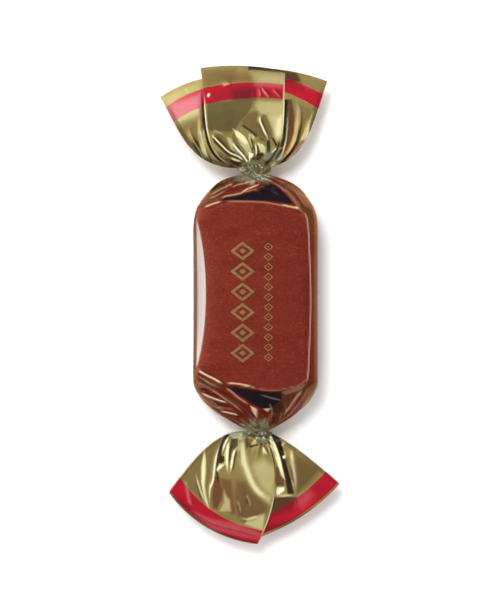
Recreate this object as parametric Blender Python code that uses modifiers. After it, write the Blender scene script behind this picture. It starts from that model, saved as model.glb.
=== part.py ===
"""A twist-wrapped chocolate toffee, as one solid.

The sweet is a bar with rounded ends, lying on its flat underside. One sheet of
film is wrapped round it as a tube and twisted shut at both ends, and past each
twist the tube opens into a flat fan. Nothing of the toffee shows, so the wrapped
bar is solid. The film of each fan is followed all the way round the flattened
tube: the front from the side fold up to the sheet's own cut edge, the back, and
the stretch that tucks under the cut edge.

Metres. +Z is up, +Y runs along the bar towards the head fan, and the origin is
the middle of the face that the sweet lies on.
"""

import math

import bmesh
import bpy
from mathutils import Vector

MM = 0.001

# The wrapped bar
BAR_WIDTH = 20.0 * MM
BAR_HEIGHT = 12.0 * MM
BAR_SQUARENESS = 5.0  # superellipse exponent of the bar's cross-section
CROWN = 0.35 * MM  # how much the top face falls away from its middle to its ends
UNDERSIDE_SINK = 0.35 * MM  # cut off the section's foot, which leaves a flat face
UNDERSIDE_DELAY = 1.5 * MM  # by which the underside starts to rise after the sides close
UNDERSIDE_CURVE = 1.25  # exponent of its rise to the twist

# The twists
TWIST_RADIUS = 1.35 * MM
TWIST_HEIGHT = 6.0 * MM  # of the twist's axis above the table
GATHERS = 10  # folds of the film round the twist
GATHER_DEPTH = 0.17  # of the section's radius, at the twist itself
GATHER_TURN = 0.8  # radians that the folds wind round on their way to the twist
GATHER_ONSET = 2.4  # exponent of their growth from the end of the top face to the twist
ROOT_LENGTH = 2.4 * MM  # of the bunched film between a twist and its open fan
ROOT_HALF_WIDTH = 3.1 * MM
ROOT_HALF_HEIGHT = 1.9 * MM
ROOT_SQUARENESS = 2.2
ROOT_SPREAD = 0.7  # exponent, below 1 where the root widens at once
ROOT_BUNCH = 0.8  # exponent, below 1 where the root is thickest near the twist

# The film, much thicker here than the real 0.03 mm
FILM = 0.34 * MM
FOLD_SHARE = 0.22  # of a layer's width, over which it rises from its side fold

# The pleats that run out from a twist along the film, none of them quite like the next
PLEAT_HEIGHT = 0.36 * MM
PLEAT_HEIGHT_SPREAD = 0.45
PLEAT_PEAK = 4.0 * MM  # from the twist, where the pleats stand highest
PLEAT_END = 11.5 * MM  # from the twist, where a middling pleat has run out
PLEAT_END_SPREAD = 0.25

# Mesh resolution
SECTION_SIDES = 4 * GATHERS  # so that the edges run along the crests and the hollows
FAN_ROWS = 14
ROW_CROWDING = 1.15  # exponent, above 1 where the rows stand closer near the twist
BAR_COLOUR = (0.24, 0.03, 0.02, 1.0)


def at(x_mm, y_mm):
    """A point in the plane of a fan: across the sweet, and outwards from the twist."""
    return Vector((x_mm, y_mm)) * MM


class BarEnd:
    """How the wrapped bar closes down to one of its two twists."""

    def __init__(self, side, straight, face_end, twist, twist_x, power, root):
        self.side = side  # +1 at the head, -1 at the foot
        self.straight = straight * MM  # from the middle, where the sides start to close
        self.face_end = face_end * MM  # where the flat top face ends
        self.twist = twist * MM
        self.twist_x = twist_x * MM
        self.power = power
        self.root = root

    def closing(self, along):
        """1 where the bar is full width, 0 at the twist."""
        share = (along - self.straight) / (self.twist - self.straight)
        share = min(max(share, 0.0), 1.0)
        return (1.0 - share**self.power) ** self.root

    def reach(self, open_share):
        """How far out the bar has closed to this share of its width."""
        share = (1.0 - open_share ** (1.0 / self.root)) ** (1.0 / self.power)
        return self.straight + (self.twist - self.straight) * share

    def falling(self, along, start):
        """0 before start, 1 at the twist."""
        return min(max((along - start) / (self.twist - start), 0.0), 1.0)


HEAD = BarEnd(1, 11.0, 15.4, 20.7, -0.2, power=2.2, root=0.5)
FOOT = BarEnd(-1, 12.5, 13.9, 20.6, 0.45, power=1.6, root=0.75)


class Layer:
    """One stretch of a fan's film, between two lines that run out from the twist.

    Each line is a cubic Bezier of four points, and the outer edge joins their
    ends with a bulge. lift is the film's height above the twist's axis at the
    twist, half-way and at the outer edge. folds says which of its two sides ends
    in a side fold of the tube. Every column of the layer's mesh is the crest or
    the hollow of a pleat.
    """

    def __init__(self, columns, start, end, lift, bulge=0.0, folds=(False, False)):
        self.columns = columns
        self.start = [at(*point) for point in start]
        self.end = [at(*point) for point in end]
        self.lift = [height * MM for height in lift]
        self.bulge = bulge * MM
        self.folds = folds

    def plan(self, across, out):
        """The point at these shares of the layer's width and length, seen from above."""
        here = bezier(self.start, out).lerp(bezier(self.end, out), across)
        chord = self.end[3] - self.start[3]
        outward = Vector((-chord.y, chord.x)).normalized()
        if outward.y < 0.0:
            outward = -outward
        return here + outward * (self.bulge * out * 4.0 * across * (1.0 - across))

    def height(self, across, out, pleat):
        """Height over the twist's axis, with this much of it in a pleat."""
        root, middle, edge = self.lift
        lift = root * (1 - out) ** 2 + 2 * middle * out * (1 - out) + edge * out**2
        rise = 1.0
        if self.folds[0]:
            rise *= fold_rise(across)
        if self.folds[1]:
            rise *= fold_rise(1.0 - across)
        return (lift + pleat * rise**3) * rise


def bezier(points, share):
    """A point on a cubic Bezier curve."""
    rest = 1.0 - share
    weights = (rest**3, 3 * rest**2 * share, 3 * rest * share**2, share**3)
    return sum((point * weight for point, weight in zip(points, weights)), Vector((0.0, 0.0)))


def fold_rise(share):
    """Rises from 0 on the side fold to 1, round like the tube's flattened edge."""
    left = max(1.0 - share / FOLD_SHARE, 0.0)
    return math.sqrt(1.0 - left**2)


# The head fan. Its front has a step in it, where a pleat lays the middle flap over
# the left side, and the flap ends in the sheet's cut edge.
HEAD_LEFT = ((-1.3, 1.0), (-7.5, 0.2), (-12.2, 6.0), (-15.0, 12.0))
HEAD_RIGHT = ((1.3, 1.0), (8.3, 1.8), (8.8, 8.5), (11.6, 14.9))
HEAD_STEP_LOW = ((-0.9, 1.0), (-9.2, 1.2), (-7.8, 9.5), (-8.9, 15.3))
HEAD_STEP_HIGH = ((-0.7, 1.0), (-8.8, 1.2), (-7.3, 9.5), (-8.7, 17.0))
HEAD_CUT_EDGE = ((0.8, 1.0), (4.9, 4.2), (4.6, 9.0), (4.9, 16.2))
HEAD_TUCKED_EDGE = ((-0.2, 1.0), (0.6, 5.0), (-0.4, 10.0), (-0.7, 17.1))
HEAD_FILM = (
    Layer(11, HEAD_CUT_EDGE, HEAD_STEP_HIGH, (0.6, 3.1, 1.5), bulge=0.7),
    Layer(1, HEAD_STEP_HIGH, HEAD_STEP_LOW, (0.6, 2.7, 1.3)),
    Layer(8, HEAD_STEP_LOW, HEAD_LEFT, (0.5, 2.1, 0.9), folds=(False, True)),
    Layer(18, HEAD_LEFT, HEAD_RIGHT, (-0.5, -1.8, -0.6), bulge=3.0, folds=(True, True)),
    Layer(9, HEAD_RIGHT, HEAD_TUCKED_EDGE, (0.2, 1.5, 0.6), bulge=0.3, folds=(True, False)),
)

# The foot fan. Its front runs in one piece from the left fold to the cut edge.
FOOT_LEFT = ((-1.3, 1.0), (-7.0, 0.2), (-11.0, 5.0), (-14.5, 9.7))
FOOT_RIGHT = ((1.3, 1.0), (4.6, 1.6), (9.0, 5.0), (12.9, 8.2))
FOOT_CUT_EDGE = ((0.8, 1.0), (4.6, 5.0), (2.6, 11.0), (-0.2, 18.1))
FOOT_TUCKED_EDGE = ((-0.3, 1.0), (-1.0, 5.0), (-0.8, 10.0), (-0.6, 16.8))
FOOT_FILM = (
    Layer(17, FOOT_CUT_EDGE, FOOT_LEFT, (0.6, 2.9, 1.2), bulge=1.8, folds=(False, True)),
    Layer(18, FOOT_LEFT, FOOT_RIGHT, (-0.5, -1.8, -0.6), bulge=7.0, folds=(True, True)),
    Layer(9, FOOT_RIGHT, FOOT_TUCKED_EDGE, (0.2, 1.3, 0.5), bulge=1.1, folds=(True, False)),
)


def remove_all_objects():
    for obj in list(bpy.data.objects):
        bpy.data.objects.remove(obj)


def bar_section(end, along):
    """Half width, lowest and highest point, squareness and centre of one section."""
    open_share = end.closing(along)
    half_width = TWIST_RADIUS + (BAR_WIDTH / 2 - TWIST_RADIUS) * open_share
    top_share = end.falling(along, end.face_end)
    foot_share = end.falling(along, end.straight + UNDERSIDE_DELAY)
    crown = CROWN * min(along / end.face_end, 1.0) ** 2
    top = BAR_HEIGHT - crown
    top += (TWIST_HEIGHT + TWIST_RADIUS - top) * top_share
    foot = -UNDERSIDE_SINK
    foot += (TWIST_HEIGHT - TWIST_RADIUS - foot) * foot_share**UNDERSIDE_CURVE
    squareness = 2.0 + (BAR_SQUARENESS - 2.0) * (1.0 - top_share)
    return half_width, foot, top, squareness, end.twist_x * (1.0 - open_share)


def root_section(end, past):
    """The same for the bunched film past a twist, at this share of its length."""
    spread = math.sin(math.pi * min(past, 0.5)) ** ROOT_SPREAD
    bunch = math.sin(math.pi * past**ROOT_BUNCH)
    half_width = TWIST_RADIUS + (ROOT_HALF_WIDTH - TWIST_RADIUS) * spread
    half_height = TWIST_RADIUS + (ROOT_HALF_HEIGHT - TWIST_RADIUS) * bunch
    foot, top = TWIST_HEIGHT - half_height, TWIST_HEIGHT + half_height
    return half_width, foot, top, ROOT_SQUARENESS, end.twist_x


def section_ring(end, along, section, gather):
    """The points of one section, with the film's gathers wound round it."""
    half_width, foot, top, squareness, centre = section
    middle = (foot + top) / 2
    ring = []
    for side in range(SECTION_SIDES):
        round_share = 2.0 * math.pi * side / SECTION_SIDES
        angle = round_share + GATHER_TURN * gather * end.side
        cosine, sine = math.cos(angle), math.sin(angle)
        x = half_width * math.copysign(abs(cosine) ** (2.0 / squareness), cosine)
        z = (top - foot) / 2 * math.copysign(abs(sine) ** (2.0 / squareness), sine)
        swell = 1.0 + GATHER_DEPTH * gather * math.cos(GATHERS * round_share)
        height = max(middle + z * swell, 0.0)
        ring.append(Vector((centre + x * swell, along * end.side, height)))
    return ring


def end_rings(end):
    """The rings of one half of the bar, from its middle out to the root of its fan."""
    straight_steps, corner_steps, shoulder_steps, root_steps = 3, 4, 10, 4
    places = [end.straight * (step + 0.5) / straight_steps for step in range(straight_steps)]
    for step in range(corner_steps):
        places.append(end.straight + (end.face_end - end.straight) * step / corner_steps)
    for step in range(shoulder_steps + 1):
        places.append(end.reach(end.closing(end.face_end) * (1.0 - step / shoulder_steps)))
    rings = []
    for along in places:
        gather = end.falling(along, end.face_end) ** GATHER_ONSET
        rings.append(section_ring(end, along, bar_section(end, along), gather))
    for step in range(1, root_steps + 1):
        past = step / root_steps
        along = end.twist + ROOT_LENGTH * past
        rings.append(section_ring(end, along, root_section(end, past), 1.0 - 0.5 * past))
    return rings


def wrapped_bar():
    """The bar in its film, lofted from the root of one fan to the root of the other."""
    rings = list(reversed(end_rings(FOOT))) + end_rings(HEAD)
    mesh = bmesh.new()
    loops = [[mesh.verts.new(point) for point in ring] for ring in rings]
    for lower, upper in zip(loops, loops[1:]):
        for side in range(SECTION_SIDES):
            after = (side + 1) % SECTION_SIDES
            mesh.faces.new((lower[side], lower[after], upper[after], upper[side]))
    mesh.faces.new(loops[0])
    mesh.faces.new(loops[-1])
    bmesh.ops.recalc_face_normals(mesh, faces=mesh.faces)
    bmesh.ops.triangulate(mesh, faces=mesh.faces, quad_method="SHORT_EDGE")
    return new_object("wrapped_toffee", mesh)


def pleat_height(column, reach):
    """Height of the pleats on one line of the film, this far out from the twist."""
    peak = PLEAT_HEIGHT * (1.0 + PLEAT_HEIGHT_SPREAD * math.sin(2.3 * column))
    end = PLEAT_END * (1.0 + PLEAT_END_SPREAD * math.sin(1.3 * column + 1.0))
    rise = min(reach / PLEAT_PEAK, 1.0)
    fade = 1.0 - min(max((reach - PLEAT_PEAK) / (end - PLEAT_PEAK), 0.0), 1.0)
    return peak * rise * fade if column % 2 else -peak * rise * fade


def film_columns(film):
    """(layer, share across it) for each line of the film that runs out from the twist."""
    columns = [(film[0], 0.0)]
    for layer in film:
        for column in range(1, layer.columns + 1):
            share = column / layer.columns
            if all(layer.folds):
                share = 0.5 - 0.5 * math.cos(math.pi * share)
            elif layer.folds[0]:
                share = 1.0 - math.cos(0.5 * math.pi * share)
            elif layer.folds[1]:
                share = math.sin(0.5 * math.pi * share)
            columns.append((layer, share))
    return columns


def fan(name, end, film):
    """The opened tube of film past one twist: a grid laid along the film, then thickened."""
    columns = film_columns(film)
    mesh = bmesh.new()
    last_column = len(columns) - 1
    bmesh.ops.create_grid(mesh, x_segments=last_column, y_segments=FAN_ROWS, size=0.5)
    for vert in mesh.verts:
        column = round((vert.co.x + 0.5) * last_column)
        layer, across = columns[column]
        out = (round((vert.co.y + 0.5) * FAN_ROWS) / FAN_ROWS) ** ROW_CROWDING
        plan = layer.plan(across, out)
        height = TWIST_HEIGHT + layer.height(across, out, pleat_height(column, plan.length))
        vert.co = Vector((end.twist_x + plan.x, end.side * (end.twist + plan.y), height))
    if end.side > 0:
        bmesh.ops.reverse_faces(mesh, faces=mesh.faces)
    sheet = new_object(name, mesh)
    thick = sheet.modifiers.new("film", "SOLIDIFY")
    thick.thickness = FILM
    thick.offset = 1.0
    return sheet


def new_object(name, mesh):
    data = bpy.data.meshes.new(name)
    mesh.to_mesh(data)
    mesh.free()
    return bpy.data.objects.new(name, data)


def join_into(bar, fans):
    """Fuses the fans' film to the twists, and removes the loose copies of it."""
    union = bar.modifiers.new("film_of_the_fans", "BOOLEAN")
    union.operation = "UNION"
    union.operand_type = "COLLECTION"
    union.collection = fans
    union.solver = "EXACT"
    union.use_self = False
    bpy.context.view_layer.update()
    graph = bpy.context.evaluated_depsgraph_get()
    fused = bpy.data.meshes.new_from_object(bar.evaluated_get(graph))
    bar.modifiers.clear()
    bar.data = fused
    for obj in list(fans.objects):
        bpy.data.objects.remove(obj)
    bpy.data.collections.remove(fans)


def film_material():
    """Printed metallised film, in the red-brown of the bar."""
    material = bpy.data.materials.new("printed_film")
    material.use_nodes = True
    shader = material.node_tree.nodes["Principled BSDF"]
    shader.inputs["Base Color"].default_value = BAR_COLOUR
    shader.inputs["Metallic"].default_value = 0.6
    shader.inputs["Roughness"].default_value = 0.3
    return material


def main():
    remove_all_objects()
    sweet = bpy.data.collections.new("twist_wrapped_toffee")
    fans = bpy.data.collections.new("fans")
    for collection in (sweet, fans):
        bpy.context.scene.collection.children.link(collection)
    bar = wrapped_bar()
    sweet.objects.link(bar)
    fans.objects.link(fan("head_fan", HEAD, HEAD_FILM))
    fans.objects.link(fan("foot_fan", FOOT, FOOT_FILM))
    join_into(bar, fans)
    bar.data.materials.clear()
    bar.data.materials.append(film_material())
    bar.data.shade_smooth()
    bar.data.set_sharp_from_angle(angle=math.radians(35.0))


main()
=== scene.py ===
"""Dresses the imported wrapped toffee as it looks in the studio.

The sweet is a bar of chocolate toffee rolled into one sheet of metallised film. The
middle of the sheet is printed red-brown, both its ends are bare gold with a red
stripe along the cut edge, and both ends are twisted shut and open into a flat fan.
Each fan is one sheet that is followed round the flattened tube: the front flap, the
back and the stretch that tucks in under the flap.

Classes hold their sizes in millimetres. +Z is up, +Y runs along the bar towards the
head fan, and a fan's own plan has x across and y outwards from its twist.
"""

import logging
import math
import random
from dataclasses import dataclass, field
from enum import Enum
from functools import reduce

import bmesh
import bpy
import numpy as np
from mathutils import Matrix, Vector
from mathutils.geometry import delaunay_2d_cdt


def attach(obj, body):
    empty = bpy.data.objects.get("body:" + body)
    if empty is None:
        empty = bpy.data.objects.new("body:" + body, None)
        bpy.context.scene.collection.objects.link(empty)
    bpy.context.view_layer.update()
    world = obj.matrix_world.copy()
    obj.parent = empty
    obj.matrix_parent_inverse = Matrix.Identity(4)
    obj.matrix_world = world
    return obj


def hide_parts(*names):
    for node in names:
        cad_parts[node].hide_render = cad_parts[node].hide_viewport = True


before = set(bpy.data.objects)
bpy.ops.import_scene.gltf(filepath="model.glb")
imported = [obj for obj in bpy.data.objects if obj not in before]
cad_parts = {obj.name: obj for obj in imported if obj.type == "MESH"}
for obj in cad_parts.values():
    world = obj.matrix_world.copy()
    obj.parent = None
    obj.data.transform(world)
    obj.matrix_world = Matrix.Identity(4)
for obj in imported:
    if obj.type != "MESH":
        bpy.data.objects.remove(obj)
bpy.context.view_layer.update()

MM = 0.001
BODY = "root"
CAD_NODE = "wrapped_toffee"
LOG = logging.getLogger("wrapped_toffee")

Point = tuple[float, float]
Line = tuple[Point, ...]
Colour = tuple[float, float, float]
Array = np.ndarray
Object = bpy.types.Object
Node = bpy.types.Node
Socket = bpy.types.NodeSocket
Outputs = bpy.types.bpy_prop_collection
Value = object  # a constant, or the socket that feeds it


class Slot(Enum):
    """The record's material slots."""

    BODY_FILM = "body_film"
    GOLD_FILM = "gold_film"
    GOLD_PRINT = "gold_print"


class Side(Enum):
    """Which end of the bar something belongs to, as its direction along +Y."""

    HEAD = 1
    FOOT = -1


def smooth(share: Array) -> Array:
    """Eases a share from 0 to 1, held outside that."""
    held = np.clip(share, 0.0, 1.0)
    return held * held * (3.0 - 2.0 * held)


def bezier(points: Line, share: Array) -> Array:
    """Points on a cubic Bezier curve.

    Args:
        points: its four control points.
        share: where along it, from 0 to 1, in any shape.

    Returns:
        An array with one more axis, of x and y.
    """
    rest = 1.0 - share
    weights = (rest**3, 3 * rest**2 * share, 3 * rest * share**2, share**3)
    return sum(weight[..., None] * np.array(point) for weight, point in zip(weights, points))


# ---------------------------------------------------------------------------- folds


@dataclass
class Marks:
    """What folds do to a stretch of film, with the shade and light painted on it."""

    NAMES = ("height", "crest", "dusk", "pale", "warm")

    height: Array  # over its plain form, in mm
    crest: Array  # how far the film is rubbed bare, and painted glints, from 0 to 1
    dusk: Array  # painted shade in the lee of its folds, and painted dark reflections, from 0 to 1
    pale: Array  # how far it is stretched pale, and painted highlights where it catches the light, from 0 to 1
    warm: Array  # painted reflection: how far it takes the brown of what it mirrors, from 0 to 1

    @classmethod
    def none(cls, shape: tuple[int, ...]) -> "Marks":
        """Film without a fold."""
        return cls(*(np.zeros(shape) for _ in cls.NAMES))

    @classmethod
    def join(cls, parts: list["Marks"], axis: int) -> "Marks":
        """Puts stretches of film side by side, or one after another."""
        return cls(*(np.concatenate([getattr(part, name) for part in parts], axis=axis)
                     for name in cls.NAMES))

    def reversed(self) -> "Marks":
        """The same film with its rows in the opposite order."""
        return Marks(*(getattr(self, name)[::-1] for name in self.NAMES))

    def add(self, other: "Marks") -> None:
        """Lays another fold over these.

        Args:
            other: what the other fold leaves on the same points.
        """
        self.height += other.height
        for name in self.NAMES[1:]:
            setattr(self, name, np.maximum(getattr(self, name), getattr(other, name)))


@dataclass(frozen=True)
class Fold:
    """A crease that stands up from the film along a line."""

    line: Line  # points that its crest runs through, in mm, seen from above
    height: float  # of the crest in mm; below 0 it is a valley
    left: float = 0.8  # how far its left flank reaches, looking along the line
    right: float = 0.8  # the same for its right flank; a very short one makes a lap
    swell: float = 0.2  # share of the line over which it rises
    fade: float = 0.2  # share of the line over which it runs out
    taper: float = 0.5  # its width at the start of the line, as a share of the full width
    keen: float = 1.4  # exponent of the flanks; 1 is a tent, more is a keener crest
    soft: float = 0.05  # radius of the crest in mm
    wear: float = 0.6  # how far the crest is rubbed bare and shows a painted glint, from 0 to 1
    dusk: Point = (0.0, 0.0)  # painted shade on its left and its right flank, from 0 to 1
    rub: float = 0.085  # how far to either side of the crest the wear and the painted glint reach, in mm
    point: float = 0.4  # the same at the fold's ends, as a share of that
    samples: int = 56  # how many points its line is followed with

    def spine(self) -> tuple[Array, Array, Array]:
        """Samples the line.

        Returns:
            The sampled points, the unit tangents there, and the shares of the length.
        """
        points = np.array(self.line, float)
        ends = np.vstack((2 * points[0] - points[1], points, 2 * points[-1] - points[-2]))
        spans = len(points) - 1
        place = np.linspace(0.0, spans, self.samples)
        index = np.minimum(place.astype(int), spans - 1)
        t = (place - index)[:, None]
        a, b, c, d = (ends[index + offset] for offset in range(4))
        run = 0.5 * (2 * b + (c - a) * t + (2 * a - 5 * b + 4 * c - d) * t**2
                     + (3 * b - a - 3 * c + d) * t**3)
        steps = np.linalg.norm(np.diff(run, axis=0), axis=1)
        share = np.concatenate(([0.0], np.cumsum(steps))) / steps.sum()
        tangent = np.gradient(run, axis=0)
        tangent /= np.linalg.norm(tangent, axis=1)[:, None]
        return run, tangent, share

    def press(self, x: Array, y: Array) -> Marks:
        """Works out what the fold does to points of the film.

        Args:
            x: plan positions in mm.
            y: plan positions in mm.

        Returns:
            The height that it adds, its worn crest with its painted glint, and the painted shade on its
            flanks.
        """
        run, tangent, share = self.spine()
        reach = max(self.left, self.right)
        low, high = run.min(axis=0) - reach, run.max(axis=0) + reach
        near = (x > low[0]) & (x < high[0]) & (y > low[1]) & (y < high[1])
        marks = Marks.none(x.shape)
        if not near.any():
            return marks
        points = np.stack((x[near], y[near]), axis=-1)
        nearest = ((points[:, None, :] - run[None]) ** 2).sum(axis=2).argmin(axis=1)
        away = points - run[nearest]
        along = tangent[nearest]
        beside = along[:, 0] * away[:, 1] - along[:, 1] * away[:, 0]
        past = np.abs((along * away).sum(axis=1))
        on_end = (nearest == 0) | (nearest == len(run) - 1)
        distance = np.where(on_end, np.hypot(beside, past), np.abs(beside))
        distance = np.sqrt(distance**2 + self.soft**2) - self.soft
        where = share[nearest]
        width = np.where(beside > 0.0, self.left, self.right)
        width = width * (self.taper + (1.0 - self.taper) * where)
        full = smooth(where / self.swell) * smooth((1.0 - where) / self.fade)
        flank = np.clip(1.0 - distance / width, 0.0, 1.0) ** self.keen
        marks.height[near] = self.height * full * flank
        rub = self.rub * (self.point + (1.0 - self.point) * full)
        marks.crest[near] = self.wear * full * np.exp(-((distance / rub) ** 2))
        shaded = np.where(beside > 0.0, self.dusk[0], self.dusk[1])
        marks.dusk[near] = shaded * full * smooth(2.0 * (1.0 - distance / width))
        return marks


@dataclass(frozen=True)
class Patch:
    """A facet of the film with its own painted shade, highlight, glint and brown reflection, and wear."""

    outline: Line  # its corners in order, in mm, seen from above
    dusk: float = 0.0  # painted shade: how dark it is, from 0 to 1
    pale: float = 0.0  # how far it is stretched pale, and its painted highlight, from 0 to 1
    warm: float = 0.0  # painted reflection: how far it takes the brown of what it mirrors, from 0 to 1
    crest: float = 0.0  # how far it is rubbed bare, and its painted glint, from 0 to 1
    height: float = 0.0  # how far it stands off the film, in mm
    soft: float = 0.15  # half the width of its edge, in mm

    def press(self, x: Array, y: Array) -> Marks:
        """Works out what the facet does to points of the film.

        Args:
            x: plan positions in mm.
            y: plan positions in mm.

        Returns:
            Its height, its wear, and the shade and light painted on it.
        """
        corners = np.array(self.outline)
        low, high = corners.min(axis=0) - self.soft, corners.max(axis=0) + self.soft
        near = (x > low[0]) & (x < high[0]) & (y > low[1]) & (y < high[1])
        marks = Marks.none(x.shape)
        points = np.stack((x[near], y[near]), axis=-1)
        inside = np.zeros(len(points), bool)
        distance = np.full(len(points), np.inf)
        for start, end in zip(corners, np.roll(corners, -1, axis=0)):
            run, away = end - start, points - start
            share = np.clip(away @ run / (run @ run), 0.0, 1.0)
            distance = np.minimum(distance, np.linalg.norm(away - share[:, None] * run, axis=1))
            if start[1] != end[1]:
                crossing = start[0] + (points[:, 1] - start[1]) / run[1] * run[0]
                level = (start[1] > points[:, 1]) != (end[1] > points[:, 1])
                inside ^= level & (points[:, 0] < crossing)
        cover = smooth(0.5 + 0.5 * np.where(inside, distance, -distance) / self.soft)
        for name in Marks.NAMES:
            getattr(marks, name)[near] = getattr(self, name) * cover
        return marks


def streak(line: Line, width: float = 0.12, shine: float = 0.8,
           height: float = 0.08) -> Fold:
    """A low ridge with a painted highlight along it, pointed at both ends.

    Args:
        line: points that it runs through, in mm.
        width: half the width of the painted highlight on it, in mm.
        shine: how bright that is, from 0 to 1.
        height: of the ridge in mm.

    Returns:
        The fold.
    """
    return Fold(line, height, 0.5, 0.5, swell=0.35, fade=0.35, taper=1.0, wear=shine, rub=width)


def groove(line: Line, width: float = 0.16, dark: float = 0.9,
           depth: float = 0.05) -> Fold:
    """A narrow valley that stays dark.

    Args:
        line: points that it runs through, in mm.
        width: half its width, in mm.
        dark: how dark its painted shade is, from 0 to 1.
        depth: in mm.

    Returns:
        The fold.
    """
    return Fold(line, -depth, width, width, taper=1.0, wear=0.0, dusk=(dark, dark))


@dataclass(frozen=True)
class CreaseScatter:
    """Small creases strewn over a stretch of film, radiating from a point."""

    count: int  # how many
    seed: int  # fixes them
    centre: Point  # the point that they radiate from, in mm
    reach: tuple[float, float]  # nearest and furthest start, in mm from the centre
    bearing: tuple[float, float]  # range of directions from the centre, in degrees clockwise from +y
    length: tuple[float, float]  # range of lengths in mm
    height: tuple[float, float]  # range of heights in mm; each is as likely a valley
    width: tuple[float, float]  # range of flank widths in mm
    stray: float = 25.0  # how far a crease may turn from its radius, in degrees
    wear: float = 0.3  # how far their crests are rubbed bare and show painted glints, from 0 to 1

    def folds(self) -> list[Fold]:
        """Draws the creases, the same each time.

        Returns:
            The creases.
        """
        draw = random.Random(self.seed)
        creases = []
        for _ in range(self.count):
            bearing = math.radians(draw.uniform(*self.bearing))
            start = draw.uniform(*self.reach)
            turn = bearing + math.radians(draw.uniform(-self.stray, self.stray))
            length = draw.uniform(*self.length)
            bend = math.radians(draw.uniform(-self.stray, self.stray))
            x = self.centre[0] + start * math.sin(bearing)
            y = self.centre[1] + start * math.cos(bearing)
            middle = (x + 0.5 * length * math.sin(turn), y + 0.5 * length * math.cos(turn))
            end = (middle[0] + 0.5 * length * math.sin(turn + bend),
                   middle[1] + 0.5 * length * math.cos(turn + bend))
            height = draw.uniform(*self.height) * draw.choice((-1.0, 1.0))
            creases.append(Fold(((x, y), middle, end), height, draw.uniform(*self.width),
                                draw.uniform(*self.width), swell=0.4, fade=0.5, taper=0.6,
                                wear=self.wear))
        return creases


@dataclass(frozen=True)
class Crumple:
    """Flat facets with creases between them that fan out from a point, as in crushed foil."""

    seed: int  # fixes the facets
    spokes: int  # how many facets lie side by side
    rings: int  # how many lie behind each other
    bearing: tuple[float, float]  # range of directions from the centre, in degrees clockwise from +y
    reach: tuple[float, float]  # nearest and furthest distance from the centre, in mm
    height: float  # how far their corners stand off the film, in mm
    calm: float = 1.0  # how fast that falls off outwards
    centre: Point = (0.0, 0.0)  # the point that they fan out from, in mm
    stray: float = 0.3  # how far a corner may be off its place, as a share of a facet

    def corners(self) -> tuple[Array, list[list[int]]]:
        """Draws the facets.

        Returns:
            Their corners, as shares of the bearing and the reach with a height, and the
            corners of each triangle.
        """
        draw, stray = random.Random(self.seed), self.stray
        corners = []
        for ring in range(self.rings + 1):
            for spoke in range(self.spokes + 1):
                inner = 0 < spoke < self.spokes
                shift = 0.5 * (ring % 2) + draw.uniform(-stray, stray) if inner else 0.0
                step = draw.uniform(-stray, stray) if 0 < ring < self.rings else 0.0
                out = (ring + step) / self.rings
                height = draw.uniform(-1.0, 1.0) * self.height * (1.0 - out) ** self.calm
                corners.append((min((spoke + shift) / self.spokes, 1.0), out, height))
        flat = [Vector(corner[:2]) for corner in corners]
        found = delaunay_2d_cdt(flat, [], [], 0, 1e-6)
        triangles = [[found[3][corner][0] for corner in triangle] for triangle in found[2]]
        return np.array(corners), triangles

    def press(self, x: Array, y: Array) -> Array:
        """The height that the facets add to points of the film, in mm.

        Args:
            x: plan positions in mm.
            y: plan positions in mm.

        Returns:
            The height at each point, 0 outside the facets.
        """
        dx, dy = x - self.centre[0], y - self.centre[1]
        low, high = self.bearing
        across = (np.degrees(np.arctan2(dx, dy)) - low) / (high - low)
        near, far = self.reach
        out = np.log(np.maximum(np.hypot(dx, dy), near) / near) / math.log(far / near)
        corners, triangles = self.corners()
        height = np.zeros(x.shape)
        for triangle in triangles:
            (ax, ay, ah), (bx, by, bh), (cx, cy, ch) = corners[triangle]
            area = (bx - ax) * (cy - ay) - (cx - ax) * (by - ay)
            b = ((across - ax) * (cy - ay) - (cx - ax) * (out - ay)) / area
            c = ((bx - ax) * (out - ay) - (across - ax) * (by - ay)) / area
            inside = (b >= 0.0) & (c >= 0.0) & (b + c <= 1.0)
            height[inside] = (ah + b * (bh - ah) + c * (ch - ah))[inside]
        return height


def blur(values: Array, passes: int) -> Array:
    """Softens a grid of values, so that creases have a radius.

    Args:
        values: the grid.
        passes: how many times it is softened.

    Returns:
        The softened grid.
    """
    for _ in range(passes):
        for axis in (0, 1):
            before = np.roll(values, 1, axis)
            after = np.roll(values, -1, axis)
            first, last = [slice(None)] * 2, [slice(None)] * 2
            first[axis], last[axis] = 0, -1
            before[tuple(first)] = values[tuple(first)]
            after[tuple(last)] = values[tuple(last)]
            values = 0.25 * before + 0.5 * values + 0.25 * after
    return values


def relief(folds: list[Fold | Patch], x: Array, y: Array) -> Marks:
    """Adds folds and facets up.

    Args:
        folds: the folds and the facets.
        x: plan positions in mm.
        y: plan positions in mm.

    Returns:
        What they do together.
    """
    marks = Marks.none(x.shape)
    for fold in folds:
        marks.add(fold.press(x, y))
    return marks


# --------------------------------------------------------------------------- meshes


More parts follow.
